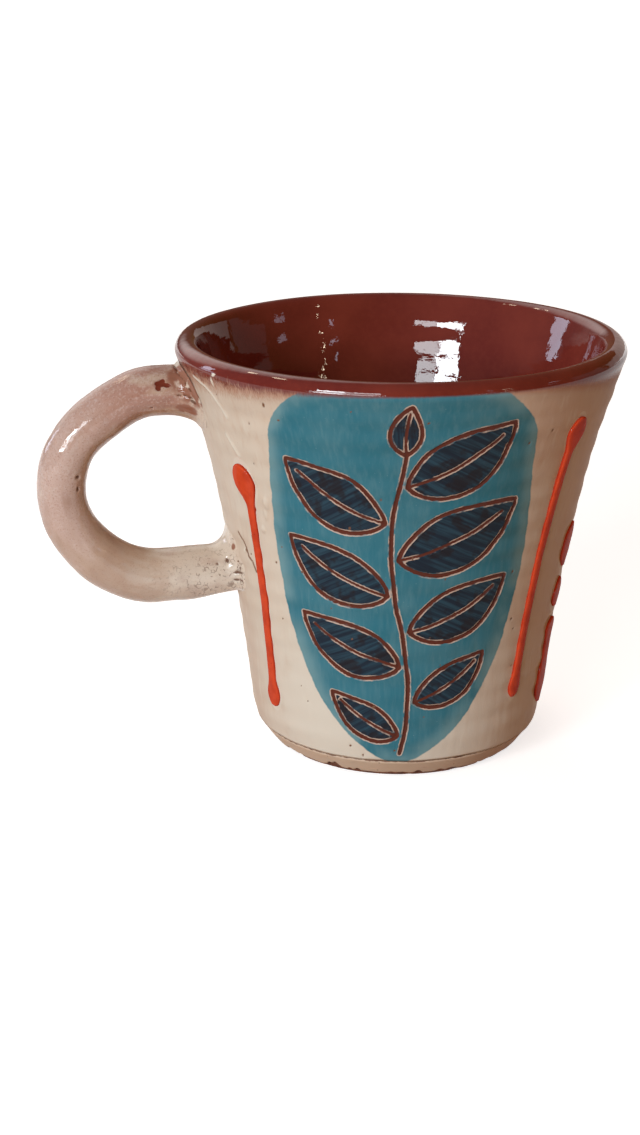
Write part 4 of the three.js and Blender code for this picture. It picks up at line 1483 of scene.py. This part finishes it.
def floor_finish():
    """A warm table top, which is a pale floor that glows up to white for the camera and reflections."""
    finish = Finish("pale_floor")
    paths = finish.node("ShaderNodeLightPath").outputs
    seen = finish.calc("MAXIMUM", paths["Is Camera Ray"], paths["Is Glossy Ray"])
    seen = finish.calc("MAXIMUM", seen, paths["Is Transmission Ray"])
    reach = finish.vector("LENGTH", finish.place())["Value"]
    glow = finish.plus(finish.times(finish.rise(reach, 0.25, 1.2), 1 - FLOOR_GLOW), FLOOR_GLOW)
    table = finish.node("ShaderNodeBsdfDiffuse", {"Color": TABLE_TONE}).outputs[0]
    matt = finish.node("ShaderNodeBsdfDiffuse", {"Color": FLOOR_TONE}).outputs[0]
    white = finish.node("ShaderNodeEmission", {"Color": (1, 1, 1), "Strength": glow}).outputs[0]
    bright = finish.node("ShaderNodeAddShader", {0: matt, 1: white}).outputs[0]
    both = finish.node("ShaderNodeMixShader", {0: seen, 1: table, 2: bright}).outputs[0]
    finish.node("ShaderNodeOutputMaterial", {"Surface": both})
    return finish.material


floor_corners = [(x * FLOOR_HALF, y * FLOOR_HALF, 0) for x, y in ((-1, -1), (1, -1), (1, 1), (-1, 1))]
floor = meshed("floor", floor_corners, [], [(0, 1, 2, 3)])
floor.data.materials.append(floor_finish())
print("floor", 2 * FLOOR_HALF * MM, "m across")

# %% Window and lamps
CUP_MIDDLE = Vector((0, 0, CUP_HEIGHT * MM / 2))
DAYLIGHT = (0.88, 0.955, 1.0)
SKYLIGHT = (0.72, 0.80, 1.0)
RIGHT_WALL = (1.0, 0.97, 1.0)
LAMPLIGHT = (1.0, 0.84, 0.62)
SMALL_LAMPS = ((309, 28.5), (308, 20.5), (310, 16.5), (309, 12), (294.5, 16))  # azimuth, elevation


def aim(holder, place, target):
    """Puts a lamp or the camera at a place, facing a target."""
    holder.location = place
    holder.rotation_euler = (target - place).to_track_quat("-Z", "Y").to_euler()


def lamp(name, azimuth, elevation, distance, size, power, colour):
    """An area lamp that faces the cup, placed by its direction in degrees and its distance in metres."""
    light = bpy.data.lights.new(name, "AREA")
    light.shape = "RECTANGLE"
    light.size, light.size_y = size
    light.energy = power
    light.color = colour
    turn, rise = math.radians(azimuth), math.radians(elevation)
    level = math.cos(rise)
    direction = Vector((level * math.cos(turn), level * math.sin(turn), math.sin(rise)))
    aim(put(name, light), CUP_MIDDLE + distance * direction, CUP_MIDDLE)


for side, pane_azimuth, share in (("left", 220.8, 1.45), ("right", 237.2, 0.55)):
    lamp(f"pane_high_{side}", pane_azimuth, 21.8, 1.2, (0.31, 0.16), 3.5 * share, DAYLIGHT)
    lamp(f"pane_low_{side}", pane_azimuth, 12, 1.2, (0.31, 0.12), 2.7 * share, DAYLIGHT)
lamp("back_window", 144, 15, 1.1, (0.17, 0.3), 0.95, SKYLIGHT)
lamp("right_wall", 44, 8, 1.3, (1.15, 0.5), 0.8, RIGHT_WALL)
lamp("side_window", 338, 23, 1.3, (0.1, 0.07), 0.05, SKYLIGHT)
lamp("doorway", 3, 11, 1.5, (0.7, 0.45), 0.17, SKYLIGHT)
lamp("ceiling_lamp_near", 123, 50, 1.3, (0.2, 0.07), 0.5, LAMPLIGHT)
lamp("ceiling_lamp_far", 142, 58, 1.3, (0.2, 0.07), 0.5, LAMPLIGHT)
lamp("far_window_high", 301, 24, 1.3, (0.05, 0.08), 0.06, SKYLIGHT)
lamp("far_window_low", 299, 14.5, 1.3, (0.05, 0.05), 0.04, SKYLIGHT)
for number, (lamp_azimuth, lamp_elevation) in enumerate(SMALL_LAMPS):
    lamp(f"small_lamp_{number}", lamp_azimuth, lamp_elevation, 1.3, (0.016, 0.024), 0.05, LAMPLIGHT)

# %% Dim room round the stage
ROOM_WARM_SIDE = (0.85, -0.25, -0.45)
ROOM_COOL = (0.57, 0.61, 0.68)
ROOM_WARM = (1.0, 0.43, 0.12)
ROOM_STRENGTH = 0.23
PALE_WALL = (1.0, 0.94, 0.90)
PALE_WALL_SIDE = (-0.25, 0.8, 0.545)
PALE_WALL_STRENGTH = 1.7

world = bpy.data.worlds.new("dim_room")
bpy.context.scene.world = world
world.use_nodes = True
room = Bench(world.node_tree)
way = room.node("ShaderNodeTexCoord").outputs["Generated"]


def towards(side, low, high):
    """0 in the directions that face away from a side of the room, 1 in those that face it."""
    return room.rise(room.vector("DOT_PRODUCT", way, side)["Value"], low, high)


def lit(colour, strength):
    """A part of the room that gives light."""
    return room.node("ShaderNodeBackground", {"Color": colour, "Strength": strength}).outputs[0]


tone = room.mix(towards(ROOM_WARM_SIDE, -0.9, 0.35), ROOM_COOL, ROOM_WARM)
pale_share = towards(PALE_WALL_SIDE, 0.84, 0.985)
walls = {0: pale_share, 1: lit(tone, ROOM_STRENGTH), 2: lit(PALE_WALL, PALE_WALL_STRENGTH)}
room.node("ShaderNodeOutputWorld", {"Surface": room.node("ShaderNodeMixShader", walls).outputs[0]})
print("room strength", ROOM_STRENGTH)

# %% Camera
CAMERA_PLACE = Vector((-107.2, -400.1, 177.5)) * MM
CAMERA_AIM = Vector((-16.5, 3.9, 37.6)) * MM
lens = bpy.data.cameras.new("camera")
lens.lens = 63.15
lens.sensor_width = 36
camera = put("camera", lens)
aim(camera, CAMERA_PLACE, CAMERA_AIM)
bpy.context.scene.camera = camera
bpy.context.scene.view_settings.view_transform = "Standard"
print("camera", round((CAMERA_PLACE - CAMERA_AIM).length / MM), "mm away")
